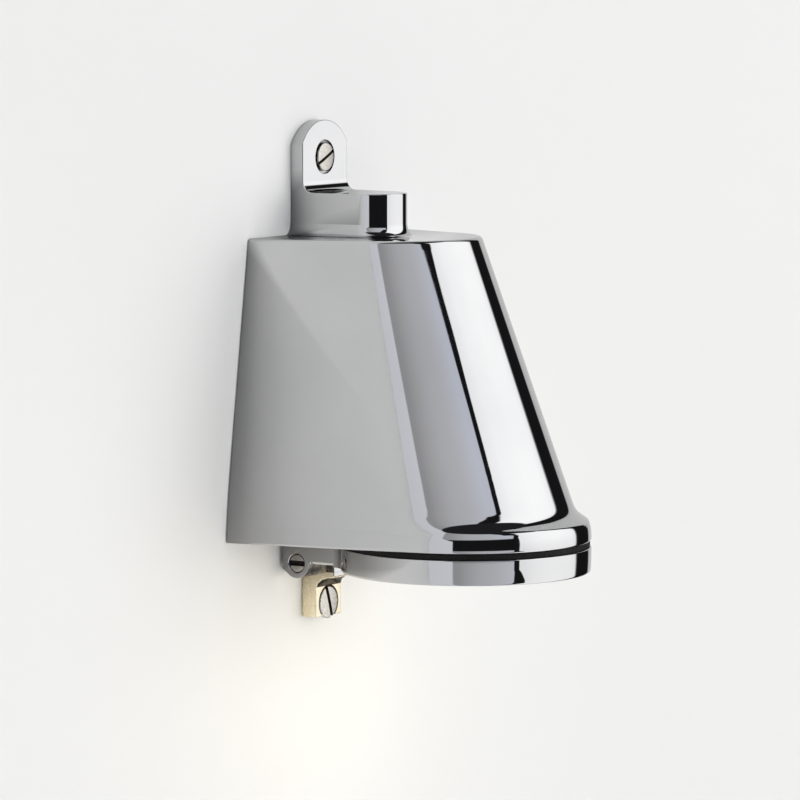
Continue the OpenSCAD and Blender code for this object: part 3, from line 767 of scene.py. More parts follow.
# ------------------------------------------------------------ lens ring
def arm(x0, x1):
    hd, hz = 6.2, -8.6
    pts = [(1.1, -2.47), (1.1, -10.4), (3.0, -11.8)]
    pts += [(hd + 4.5 * math.cos(q), hz + 4.5 * math.sin(q))
            for q in (math.radians(-133 + 136 * i / 40) for i in range(41))]
    pts += [(10.9, -8.45), (26, -8.45), (26, -1.85), (1.87, -1.85)]
    ob = prism(pts, x0, x1, "x")
    # Broken lower edge on the outer side
    xo, s = (x0, 1) if x0 < 0 else (x1, -1)
    cut(ob, prism([(xo - s * 0.2, -7.6), (xo + s * 0.8, -8.6), (xo - s * 0.2, -8.6)],
                  11.2, 30, "d"))
    return bevel(ob, 0.3, 4, 24)


def web(s, x, rho=5.0):
    """Vertical fillet between the arm's outer face and the ring."""
    cx = x + rho
    cd = RC - math.sqrt((RR + rho) ** 2 - cx * cx)
    t1 = (x, cd)
    k = RR / (RR + rho)
    t2 = (cx * k, RC + (cd - RC) * k)
    a0 = math.atan2(t1[1] - cd, t1[0] - cx)
    a1 = math.atan2(t2[1] - cd, t2[0] - cx)
    da = (a1 - a0 + math.pi) % (2 * math.pi) - math.pi
    pts = [(cx + (rho + 0.01) * math.cos(a0 + da * i / 18),
            cd + (rho + 0.01) * math.sin(a0 + da * i / 18)) for i in range(19)]
    pts += [(t2[0] - 1.0, t2[1] + 1.6), (x - 1.2, t2[1] + 1.0), (x - 1.2, cd)]
    if s < 0:
        pts = [(-a, b) for a, b in pts][::-1]
    return prism(pts, -8.9, -1.95, "z")


def build_ring():
    zt, zb = -1.85, -9.3
    prof = [(27, zt)]
    prof += [(RR - 0.32 + 0.32 * math.sin(q), zt - 0.32 + 0.32 * math.cos(q))
             for q in (math.pi / 2 * i / 5 for i in range(6))]
    # Face leans in a little towards the bottom
    for z in (-3.2, -4.2, -5.0, -5.8, -6.6, -7.3, -7.9, -8.4, -8.8):
        t = max(0, -z - 4.0) / 5.3
        prof.append((RR - 0.2 * t * t, z))
    prof += [(RR - 0.23, -9.0), (RR - 0.31, -9.16), (RR - 0.44, -9.27), (RR - 0.62, -9.3)]
    prof += [(29.4, zb), (27, zb)]
    ob = turned(prof, "z", (0, RC, 0), 256)
    fuse(ob, arm(-18.9, -12), arm(12, 18.9), web(-1, 18.9), web(1, 18.9))
    bore = turned([(0, zb + 1.6), (30, zb + 1.6), (30, zt - 0.3), (30.3, zt), (31, zt + 1),
                   (0, zt + 1)], "z", (0, RC, 0), 192)
    lip = turned([(0, zb - 1), (30.6, zb - 1), (29.2, zb - 0.001), (28.9, zb + 0.1),
                  (28.4, zb + 0.75), (28.4, zb + 3), (0, zb + 3)], "z", (0, RC, 0), 192)
    cut(ob, bore, lip)
    cut(ob, bar(1.8, -20, 20, "x", (0, 6.2, -8.6), 48))
    seat = turned([(0, -19.4), (3.4, -19.4), (3.08, -18.9), (2.9, -18.7), (2.75, -18.45),
                   (2.75, -16.7), (0, -16.7)], "x", (0, 6.2, -8.6), 64)
    cut(ob, seat)
    cut(ob, bar(1.58, -20, 10, "z", (0, 88.1, 0), 40),
        turned([(0, -12), (3.6, -12), (3.1, zb), (2.85, zb + 0.3), (2.85, zb + 2.4),
                (0, zb + 2.4)], "z", (0, 88.1, 0), 48),
        bar(2.8, -5.1, 5, "z", (0, 88.1, 0), 48))
    tidy(ob, 0.002, 0.05)
    # Arm faces beside the hinge take the hinge's painted shade and painted glints
    done(ob, "lens_ring_bezel", "lens_ring", [M["chrome_casting"], M["hinge_shade_glints"]],
         ["lens_ring"],
         pick=lambda x, d, z, nx, nd, nz: (
             (z < -8.5) & (d > 7.5) & (d < 11.1) & (np.abs(x) > 11.9) &
             (np.abs(nx) < 0.3)).astype(int))


# ------------------------------------------------------- glass, seals, lamp
def build_ring_parts():
    seal = turned(soften([(30, -1.84), (37.1, -1.84), (37.1, -0.01), (30, -0.01)],
                         [0.15, 0.45, 0.45, 0.15], 5), "z", (0, RC, 0), 256)
    cut(seal, bar(3.1, -5, 5, "z", (0, 88.1, 0), 48))
    done(seal, "ring_gasket", "housing", [M["seal_rubber"]], ["ring_seal"])
    z0 = -6.9
    low = [(24 * i / 16, z0 - 1.5 + 1.5 * (i / 16) ** 2) for i in range(17)]
    edge = soften([(24.4, z0), (29.8, z0), (29.8, z0 + 3), (24.4, z0 + 3)],
                  [0, 0.35, 0.35, 0], 4)
    top, r = [], 23.6
    while r > 1.4:
        base = z0 + 1.8 + 1.15 * (r / 24) ** 2
        top += [(r, base), (r - 0.25, base - 0.3), (r - 1.35, base - 0.04)]
        r -= 1.45
    prof = low + edge + top + [(0, z0 + 1.8)]
    lens = turned(prof, "z", (0, RC, 0), 200)
    done(lens, "lens_prismatic", "lens_ring", [M["lens_glass"]], ["lens_glass"],
         sharp=24)
    ret = turned(soften([(27, -3.9), (29.94, -3.9), (29.94, -2.6), (27, -2.6)],
                        [0.1, 0.15, 0.25, 0.25], 4), "z", (0, RC, 0), 200)
    for q in (45, 225):
        c, sn = math.cos(math.radians(q)), math.sin(math.radians(q))
        pts = [(26, -1), (28.4, -1), (28.4, 1), (26, 1)]
        cut(ret, prism([(a * c - b * sn, RC + a * sn + b * c) for a, b in pts],
                       -3.4, -2, "z"))
    done(ret, "lens_retaining_ring", "lens_ring", [M["turned_aluminium"]],
         ["lens_retainer"])


def threaded(core, crest, pitch, h0, h1, axis, at, n=36, taper=0.0):
    """Round bar with a helical ridge; its last taper mm run to a point."""
    f = AXES[axis]
    rows = int((h1 - h0) / (pitch / 10))
    verts, faces = [], []
    for k in range(rows + 1):
        h = h0 + (h1 - h0) * k / rows
        for i in range(n):
            t = 2 * math.pi * i / n
            ph = ((h - h0) / pitch - i / n) % 1.0
            ridge = max(0.0, 1 - abs(ph - 0.5) / 0.28)
            fade = min(1, (h1 - h) / (pitch * 1.2), 1)
            r = core + (crest - core) * ridge * max(fade, 0)
            if taper and h < h0 + taper:
                r = max(0.25, r * (0.12 + 0.88 * (h - h0) / taper))
            verts.append(f(r * math.cos(t), r * math.sin(t), h))
    for k in range(rows):
        for i in range(n):
            j = (i + 1) % n
            faces.append([k * n + i, k * n + j, (k + 1) * n + j, (k + 1) * n + i])
    faces += [list(range(n)), [rows * n + i for i in range(n)]]
    verts = [(v[0] + at[0], v[1] + at[1], v[2] + at[2]) for v in verts]
    return make(verts, faces)


def slot_cut(width, length, d0, d1, at, angle):
    """Screwdriver slot across a head that faces out from the wall."""
    a = math.radians(angle)
    c, s = math.cos(a), math.sin(a)
    pts = [(-length, -width / 2), (length, -width / 2), (length, width / 2),
           (-length, width / 2)]
    return prism([(at[0] + x * c - z * s, at[1] + x * s + z * c) for x, z in pts],
                 d0, d1, "d")


def cheese_head(r, d0, d1, at, dome=0.12, lip=0.45):
    prof = [(0, d0), (r - 0.12, d0), (r, d0 + 0.12), (r, d1 - lip)]
    for i in range(1, 7):
        q = math.pi / 2 * i / 6
        prof.append((r - lip * (1 - math.cos(q)), d1 - dome - lip + lip * math.sin(q)))
    for i in range(1, 6):
        t = 1 - i / 6
        prof.append(((r - lip) * t, d1 - dome * t * t))
    return turned(prof + [(0, d1)], "d", (at[0], 0, at[1]), 96)


def build_screws():
    for name, node, z, r, d0, d1, sd, ang, sw, mat in (
            ("wall_screw_top", "wall_screw_upper", 112.9, 4.35, 2.0, 4.75, 3.6, 25, 1.0,
             "nickel_upper"),
            ("wall_screw_bottom", "wall_screw_lower", -22.5, 4.9, 3.5, 5.6, 4.55, -72.5,
             1.4, "nickel_lower")):
        ob = cheese_head(r, d0, d1, (0, z))
        cut(ob, slot_cut(sw, 7, sd, d1 + 2, (0, z), ang))
        fuse(ob, bar(1.7, -0.6, d0 + 0.4, "d", (0, 0, z), 40))
        fuse(ob, threaded(1.45, 2.08, 1.8, -18, -0.3, "d", (0, 0, z), 40, 4.0))
        a = math.radians(ang)

        # Slot floor and walls take the painted slot shade
        def pick(px, pd, pz, nx, nd, nz, z=z, sd=sd, a=a, sw=sw):
            off = np.abs(-px * math.sin(a) + (pz - z) * math.cos(a))
            return ((np.abs(pd - sd) < 0.03) |
                    ((pd > sd) & (np.abs(off - sw / 2) < 0.03) & (np.abs(nd) < 0.1))
                    ).astype(int)
        done(ob, name, "housing", [M[mat], M["slot_shade_warm"]], [node],
             pick=pick)
    # Hinge pin: slotted head flush in its seat, spread at the far end
    prof = [(0, -18.65), (2.42, -18.65), (2.58, -18.6), (2.66, -18.45), (2.68, -18.2),
            (2.68, -16.75), (1.75, -16.7), (1.75, 17.9), (1.6, 18.25), (1.3, 18.4),
            (0, 18.4)]
    pin = turned(prof, "x", (0, 6.2, -8.6), 72)
    cut(pin, box(-20, -17.7, 2.2, 10.2, -9.4, -7.8))
    # Slot faces take the painted slot shade
    done(pin, "hinge_pin_slotted", "lens_ring", [M["nickel_pin"], M["slot"]],
         ["hinge_pin"],
         pick=lambda x, d, z, nx, nd, nz: (
             (np.abs(x + 17.7) < 0.03) | ((x < -17.7) & (np.abs(z + 8.6) < 0.82) &
                                          (np.abs(nz) > 0.9))).astype(int))
    # Closing screw with its clip groove and thread
    prof = [(0, -9.12), (2.3, -9.15), (2.6, -9.05), (2.7, -8.8), (2.7, -7.0), (2.6, -6.9),
            (1.3, -6.9), (1.3, 0.08), (1.1, 0.08), (1.1, 0.72), (1.3, 0.72), (1.3, 4.4),
            (1.0, 4.8), (0, 4.8)]
    sc = turned(prof, "z", (0, 88.1, 0), 56)
    cut(sc, box(-4, 4, 87.7, 88.5, -10.3, -8.2))
    fuse(sc, threaded(1.18, 1.5, 0.5, 0.8, 4.45, "z", (0, 88.1, 0), 32))
    # Slot faces take the painted slot shade
    done(sc, "closing_screw_slotted", "closing_screw", [M["nickel_closing"], M["slot"]],
         ["closing_screw"],
         pick=lambda x, d, z, nx, nd, nz: (
             (np.abs(z + 8.2) < 0.03) | ((z < -8.2) & (np.abs(d - 88.1) < 0.43) &
                                         (np.abs(nd) > 0.9))).astype(int))
    # Clip: open spring washer with three inner lugs
    clip = turned(soften([(1.16, 0.12), (2.6, 0.12), (2.6, 0.68), (1.16, 0.68)], 0.08, 3),
                  "z", (0, 88.1, 0), 64)
    for q in (60, 180, 300):
        c, s = math.cos(math.radians(q)), math.sin(math.radians(q))
        cut(clip, bar(0.42, -1, 2, "z", (1.62 * c, 88.1 + 1.62 * s, 0), 24))
    done(clip, "closing_clip_washer", "closing_clip", [M["spring_steel"]],
         ["closing_clip"])


def build_back():
    plate = [(-36.6, 15), (36.6, 15), (28.2, 78.6), (-28.2, 78.6)]
    ob = prism(soften(back_shape(3.65, 5.45, 86.15), 1.0), 1.4, 3.0, "d")
    bevel(ob, 0.15, 2, 40)
    # Two pressed ribs that stiffen the sheet, standing inwards
    for z in (28, 62):
        rib = prism(soften([(-22, z - 2.2), (22, z - 2.2), (22, z + 2.2), (-22, z + 2.2)],
                           2.1, 6), 1.2, 1.75, "d")
        cut(ob, rib)
    cut(ob, bar(6.5, 0, 5, "d", (0, 0, 45.2), 72))
    for x, z in plate:
        cut(ob, turned([(0, 1.2), (3.2, 1.2), (3.05, 1.39), (1.65, 2.8), (1.65, 4),
                        (0, 4)], "d", (x, 0, z), 48))
    for x, z, r in ((-9, 63.5, 1.5), (9, 63.5, 1.5), (-4, 75.5, 1.25), (4, 75.5, 1.25),
                    (24, 58, 1.5)):
        cut(ob, bar(r, 0, 5, "d", (x, 0, z), 32))
    done(ob, "back_cover_plate", "housing", [M["plated_sheet"]], ["back_plate"])
    grp = None
    for i, (x, z) in enumerate(plate):
        s = turned([(0, 1.42), (2.8, 1.42), (2.95, 1.5), (1.48, 2.85), (1.48, 9.1),
                    (1.1, 9.4), (0, 9.4)], "d", (x, 0, z), 48)
        cut(s, slot_cut(0.8, 4, 1.0, 2.1, (x, z), 20 + 47 * i))
        grp = s if grp is None else joined(grp, s)
    done(grp, "back_cover_screws", "housing", [M["steel_screw"]], ["back_plate_screws"])
    prof = [(3.8, 0.55), (4.05, 0.34), (4.6, 0.3), (7.9, 0.3), (8.35, 0.5), (8.55, 0.95),
            (8.5, 1.38), (6.45, 1.4), (6.45, 3.0), (8.5, 3.02), (8.5, 3.3), (7.9, 4.3),
            (7.1, 5.1), (6.4, 5.5), (5.2, 5.6), (4.1, 5.55), (3.8, 5.3), (3.8, 3.2),
            (4.3, 3.0), (4.3, 2.2), (3.8, 2.0)]
    g = turned(prof, "d", (0, 0, 45.2), 96)
    done(g, "cable_entry_grommet", "housing", [M["seal_rubber"]], ["cable_grommet"])


def joined(a, b):
    """Two separate solids in one object."""
    bm = bmesh.new()
    bm.from_mesh(a.data)
    bm.from_mesh(b.data)
    bm.to_mesh(a.data)
    bm.free()
    drop(b)
    return a


def tube(points, r, n=16, caps=True):
    """Round wire along points, with rings turned without twist."""
    p = np.array(points, float)
    t = np.gradient(p, axis=0)
    t /= np.linalg.norm(t, axis=1)[:, None]
    u = np.cross(t[0], (0.31, 0.2, 0.93))
    u /= np.linalg.norm(u)
    verts, faces = [], []
    for k in range(len(p)):
        u = u - t[k] * (u @ t[k])
        u /= np.linalg.norm(u)
        v = np.cross(t[k], u)
        for i in range(n):
            q = 2 * math.pi * i / n
            verts.append(p[k] + r * (u * math.cos(q) + v * math.sin(q)))
    m = len(p)
    for k in range(m - 1):
        for i in range(n):
            j = (i + 1) % n
            faces.append([k * n + i, k * n + j, (k + 1) * n + j, (k + 1) * n + i])
    faces += [list(range(n)), [(m - 1) * n + i for i in range(n)]]
    return make(verts, faces)


def curve_through(pts, n):
    p = [np.array(q, float) for q in pts]
    out = []
    for i in range(len(p) - 1):
        a, b = p[max(i - 1, 0)], p[i]
        c, d = p[i + 1], p[min(i + 2, len(p) - 1)]
        for k in range(n):
            t = k / n
            out.append(0.5 * ((2 * b) + (c - a) * t + (2 * a - 5 * b + 4 * c - d) * t * t
                              + (3 * b - a - 3 * c + d) * t ** 3))
    return out + [p[-1]]


def build_lamp():
    ld = 53.0
    # Reflector: spun bowl with a rolled rim
    n, zt = 40, 49.4

    def rr(z): return math.sqrt(169 + 13.1 * (zt - z))
    zs = [zt - (zt - 4.8) * (i / n) ** 1.4 for i in range(n + 1)]
    inner = [(rr(z), z) for z in zs[1:]]
    outer = [(rr(z) + 0.78, z) for z in zs if z < zt - 0.2]
    prof = [(9.6, zt), (9.6, zt + 0.78), (13.35, zt + 0.78)] + outer + \
        [(28.35, 4.6), (28.45, 4.35), (28.3, 4.14), (28.0, 4.1), (27.75, 4.2)] + \
        inner[::-1] + [(12.6, zt)]
    done(turned(prof, "z", (0, ld, 0), 180), "reflector_bowl", "housing",
         [M["spun_aluminium"]], ["reflector"])
    # Glass capsule with its flat pinch
    tip, r = 8.0, 6.6
    out = [(r * math.sin(q), tip + r - r * math.cos(q))
           for q in (math.pi / 2 * i / 14 for i in range(15))]
    out += [(r, 31), (r, 33.4), (6.3, 34.6), (5.6, 36), (4.9, 37.2), (4.4, 38), (0, 38)]
    cap = turned(out, "z", (0, ld, 0), 72)
    pinch = box(-6, 6, ld - 1.7, ld + 1.7, 36.5, 44.8)
    bevel(pinch, 0.5, 3, 40)
    fuse(cap, pinch)
    ri = r - 0.9
    hol = [(ri * math.sin(q), tip + r - ri * math.cos(q))
           for q in (math.pi / 2 * i / 12 for i in range(13))]
    hol += [(ri, 31), (ri - 0.1, 32.6), (ri - 0.9, 33.6), (0, 33.9)]
    cut(cap, turned(hol, "z", (0, ld, 0), 72))
    done(cap, "lamp_capsule_glass", "housing", [M["lamp_glass"]], ["lamp_capsule"])
    # Coiled filament hung between its supports
    coil = [(0.72 * math.cos(q), ld + 0.72 * math.sin(q), 15.2 + 13.4 * q / (44 * math.pi))
            for q in (44 * math.pi * i / 440 for i in range(441))]
    fil = tube(coil, 0.13, 6)
    top = curve_through([(0.72, ld, 28.5), (0.5, ld, 29.4), (0, ld, 30), (0, ld, 34.4)], 6)
    fil = joined(fil, tube(top, 0.22, 8))
    low = curve_through([(0.72, ld, 15.2), (1.2, ld, 14.8), (2.4, ld, 14.75),
                         (3.3, ld, 15.2), (3.4, ld, 16.4), (3.4, ld, 34.4)], 8)
    fil = joined(fil, tube(low, 0.22, 8))
    done(fil, "lamp_filament_coil", "housing", [M["lamp_filament"]], ["lamp_filament"],
         sharp=60)
    for name, node, rad, mat, pts in (
            ("lead_live_wire", "lead_live", 0.98, "lead_brown",
             [(-8, 8.2, 71), (-8, 8.2, 67.6), (-8.4, 10, 64.4), (-9, 16, 62.6),
              (-8, 28, 62.4), (-5, 40, 63), (-1.4, 46.4, 62.8), (0, 47.5, 60),
              (0, 47.5, 54)]),
            ("lead_neutral_wire", "lead_neutral", 0.98, "lead_blue",
             [(0, 8.2, 71), (0, 8.2, 67.6), (0.8, 10.4, 65.2), (3, 18, 64),
              (6.6, 30, 63.6), (8.6, 44, 64), (6.6, 55, 64.6), (1.6, 58.4, 63),
              (0, 58.5, 60), (0, 58.5, 54)]),
            ("lead_earth_wire", "lead_earth", 0.93, "lead_green_yellow",
             [(8, 8.2, 71), (8, 8.2, 67.8), (9.4, 8.4, 65.6), (14, 8.6, 64.6),
              (19, 8, 66.6), (22.4, 6, 69.4), (24, 4.75, 68.2), (24, 4.75, 65)])):
        done(tube(curve_through(pts, 12), rad, 20), name, "housing", [M[mat]], [node],
             sharp=60)


def carried_over():
    """CAD nodes that stay: material by the record's slot, edges eased."""
    keep = {"back_plate_seal": "seal_rubber", "terminal_block": "terminal_plastic",
            "terminal_inserts": "brass_part", "terminal_screws": "steel_screw",
            "terminal_block_screws": "steel_screw", "earth_screw": "brass_part",
            "earth_tag": "tinned_copper", "lampholder_bracket": "plated_sheet",
            "bracket_screws": "steel_screw", "lampholder": "ceramic",
            "lampholder_contacts": "brass_part", "lampholder_screws": "steel_screw",
            "reflector_ring": "ceramic", "lamp_pins": "lamp_wire",
            "lens_seal": "seal_rubber"}
    for n, key in keep.items():
        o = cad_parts[n]
        if not o.material_slots:
            o.data.materials.append(M[key])
        for s in o.material_slots:
            s.material = M[key]
        w = o.modifiers.new("weld", "WELD")
        w.merge_threshold = 1e-6
        b = o.modifiers.new("edges", "BEVEL")
        b.width, b.segments = 0.00012, 2
        b.limit_method, b.angle_limit = "ANGLE", math.radians(40)
        b.use_clamp_overlap = True
        wn = o.modifiers.new("normals", "WEIGHTED_NORMAL")
        wn.keep_sharp, wn.weight = True, 50


build_body()
build_ring()
build_ring_parts()
build_screws()
build_back()
build_lamp()
carried_over()


# ------------------------------------------------------------------- stage
def plane(name, corners, mat):
    me = bpy.data.meshes.new(name)
    me.from_pydata(corners, [], [list(range(len(corners)))])
    ob = bpy.data.objects.new(name, me)
    COL.objects.link(ob)
    me.materials.append(mat)
    return ob


def near_box(m, centre, half):
    """Distance in the wall's plane from a box, in metres."""
    sub = m.node("ShaderNodeVectorMath", operation="SUBTRACT")
    sub.inputs[1].default_value = centre
    m.link(m.co, sub.inputs[0])
    ab = m.node("ShaderNodeVectorMath", operation="ABSOLUTE")
    m.link(sub.outputs[0], ab.inputs[0])
    s2 = m.node("ShaderNodeVectorMath", operation="SUBTRACT")
    s2.inputs[1].default_value = half
    m.link(ab.outputs[0], s2.inputs[0])
    mx = m.node("ShaderNodeVectorMath", operation="MAXIMUM")
    mx.inputs[1].default_value = (0, 0, 0)
    m.link(s2.outputs[0], mx.inputs[0])
    ln = m.node("ShaderNodeVectorMath", operation="LENGTH")
    m.link(mx.outputs[0], ln.inputs[0])
    return ln.outputs["Value"]


def stage():
    m = Mat("wall_paint", Roughness=0.9)
    m.set("Base Color", m.mixed(m.noise(3, 2), (0.885, 0.885, 0.875), (0.9, 0.9, 0.89)))
    m.bump(m.noise(1400, 5, 0.6), 0.00003, 0.5)
    t = m.t
    out = t.nodes["Material Output"]
    geo = m.node("ShaderNodeNewGeometry")
    path = m.node("ShaderNodeLightPath")
    clear = m.node("ShaderNodeBsdfTransparent")
    # Painted shade on the wall close to the casting, seen in its reflection only
    d1 = near_box(m, (0, 0, -0.002), (0.040, 1, 0.0445))
    d2 = m.span(d1, 0, 1, 0, 0.24)
    shade = ramp(t, [(k, (v, v, v)) for k, v in
                     ((0, 0.36), (0.03, 0.42), (0.0875, 0.50), (0.146, 0.585),
                      (0.204, 0.65), (0.2625, 0.70), (0.32, 0.755), (0.379, 0.80),
                      (0.4375, 0.84), (0.558, 0.88), (0.675, 0.92), (0.79, 0.95),
                      (0.908, 0.975), (1, 1.0))])
    m.link(d2, shade.inputs["Fac"])
    z = m.node("ShaderNodeSeparateXYZ")
    m.link(m.co, z.inputs[0])
    top = m.span(z.outputs["Z"], 0, 1, 0.035, 0.052)
    low = m.span(z.outputs["Z"], 1, 0, -0.068, -0.050)
    ends = m.node("ShaderNodeMath", operation="MAXIMUM")
    m.link(top, ends.inputs[0])
    m.link(low, ends.inputs[1])
    main = m.node("ShaderNodeMath", operation="MAXIMUM")
    m.link(shade.outputs["Color"], main.inputs[0])
    m.link(ends.outputs[0], main.inputs[1])
    # The same round the top block, paler at the lug
    d3 = m.span(near_box(m, (0, 0, 0.056), (0.0125, 1, 0.012)), 0, 1, 0, 0.08)
    shade2 = ramp(t, [(k, (v, v, v)) for k, v in
                      ((0, 0.33), (0.056, 0.42), (0.106, 0.53), (0.156, 0.64),
                       (0.27, 0.77), (0.37, 0.84), (0.6, 0.92), (1, 1.0))])
    m.link(d3, shade2.inputs["Fac"])
    lug = m.node("ShaderNodeMath", operation="MAXIMUM")
    m.link(shade2.outputs["Color"], lug.inputs[0])
    m.link(m.span(z.outputs["Z"], 0, 0.85, 0.052, 0.064), lug.inputs[1])
    both = m.node("ShaderNodeMath", operation="MINIMUM")
    m.link(main.outputs[0], both.inputs[0])
    m.link(lug.outputs[0], both.inputs[1])
    # Dark low down beyond the right-hand end of the set
    far = m.node("ShaderNodeMath", operation="MAXIMUM")
    m.link(m.span(z.outputs["X"], 1, 0.02, 0.75, 1.0), far.inputs[0])
    m.link(m.span(z.outputs["Z"], 0, 1, -0.05, 0.05), far.inputs[1])
    # and a shade greyer on the whole right-hand side
    grey = m.node("ShaderNodeMath", operation="MINIMUM")
    m.link(both.outputs[0], grey.inputs[0])
    m.link(m.span(z.outputs["X"], 1, 0.75, 0.05, 0.085), grey.inputs[1])
    reflected_shade = m.node("ShaderNodeMath", operation="MINIMUM")
    m.link(grey.outputs[0], reflected_shade.inputs[0])
    m.link(far.outputs[0], reflected_shade.inputs[1])
    dark = m.node("ShaderNodeBsdfDiffuse")
    dark.inputs["Color"].default_value = (0.02, 0.02, 0.02, 1)
    near = m.node("ShaderNodeMixShader")
    m.link(reflected_shade.outputs[0], near.inputs[0])
    m.link(dark.outputs[0], near.inputs[1])
    m.link(m.p.outputs[0], near.inputs[2])
    pick = m.node("ShaderNodeMixShader")
    m.link(path.outputs["Is Glossy Ray"], pick.inputs[0])
    m.link(m.p.outputs[0], pick.inputs[1])
    m.link(near.outputs[0], pick.inputs[2])
    side = m.node("ShaderNodeMixShader")
    m.link(geo.outputs["Backfacing"], side.inputs[0])
    m.link(pick.outputs[0], side.inputs[1])
    m.link(clear.outputs[0], side.inputs[2])
    m.link(side.outputs[0], out.inputs["Surface"])
    y = 0.00015
    W, Z0, Z1 = 2.6, -0.95, 2.2
    ins = 0.0015
    hole = [(-0.04705 + ins, -0.0452 + ins), (0.04705 - ins, -0.0452 + ins),
            (0.0351 - ins, 0.0446 - ins), (-0.0351 + ins, 0.0446 - ins)]
    outer = [(-W, Z0), (W, Z0), (W, Z1), (-W, Z1)]
    me = bpy.data.meshes.new("wall")
    vs = [(x, y, z) for x, z in outer] + [(x, y, z) for x, z in hole]
    me.from_pydata(vs, [], [[i, (i + 1) % 4, 4 + (i + 1) % 4, 4 + i] for i in range(4)])
    if me.polygons[0].normal.y > 0:
        me.flip_normals()
    wall = bpy.data.objects.new("wall", me)
    COL.objects.link(wall)
    me.materials.append(m.m)
    f = Mat("floor_paint", Roughness=0.75)
    f.set("Base Color", f.mixed(f.noise(2, 2), (0.8, 0.8, 0.79), (0.83, 0.83, 0.82)))
    f.bump(f.noise(900, 4), 0.00003, 0.4)
    # The chrome sees the studio past the floor, which is clear from below too
    past, fp = f.node("ShaderNodeMixShader"), f.node("ShaderNodeLightPath")
    either = f.node("ShaderNodeMath", operation="MAXIMUM")
    f.link(fp.outputs["Is Glossy Ray"], either.inputs[0])
    f.link(f.node("ShaderNodeNewGeometry").outputs["Backfacing"], either.inputs[1])
    f.link(either.outputs[0], past.inputs[0])
    f.link(f.p.outputs[0], past.inputs[1])
    f.link(f.node("ShaderNodeBsdfTransparent").outputs[0], past.inputs[2])
    f.link(past.outputs[0], f.t.nodes["Material Output"].inputs["Surface"])
    plane("floor", [(-3, -3, Z0), (3, -3, Z0), (3, 3, Z0), (-3, 3, Z0)], f.m)


def ramp(t, stops):
    r = t.nodes.new("ShaderNodeValToRGB")
    while len(r.color_ramp.elements) > 1:
        r.color_ramp.elements.remove(r.color_ramp.elements[0])
    r.color_ramp.elements[0].position = stops[0][0]
    r.color_ramp.elements[0].color = (*stops[0][1], 1)
    for p, c in stops[1:]:
        e = r.color_ramp.elements.new(p)
        e.color = (*c, 1)
    return r


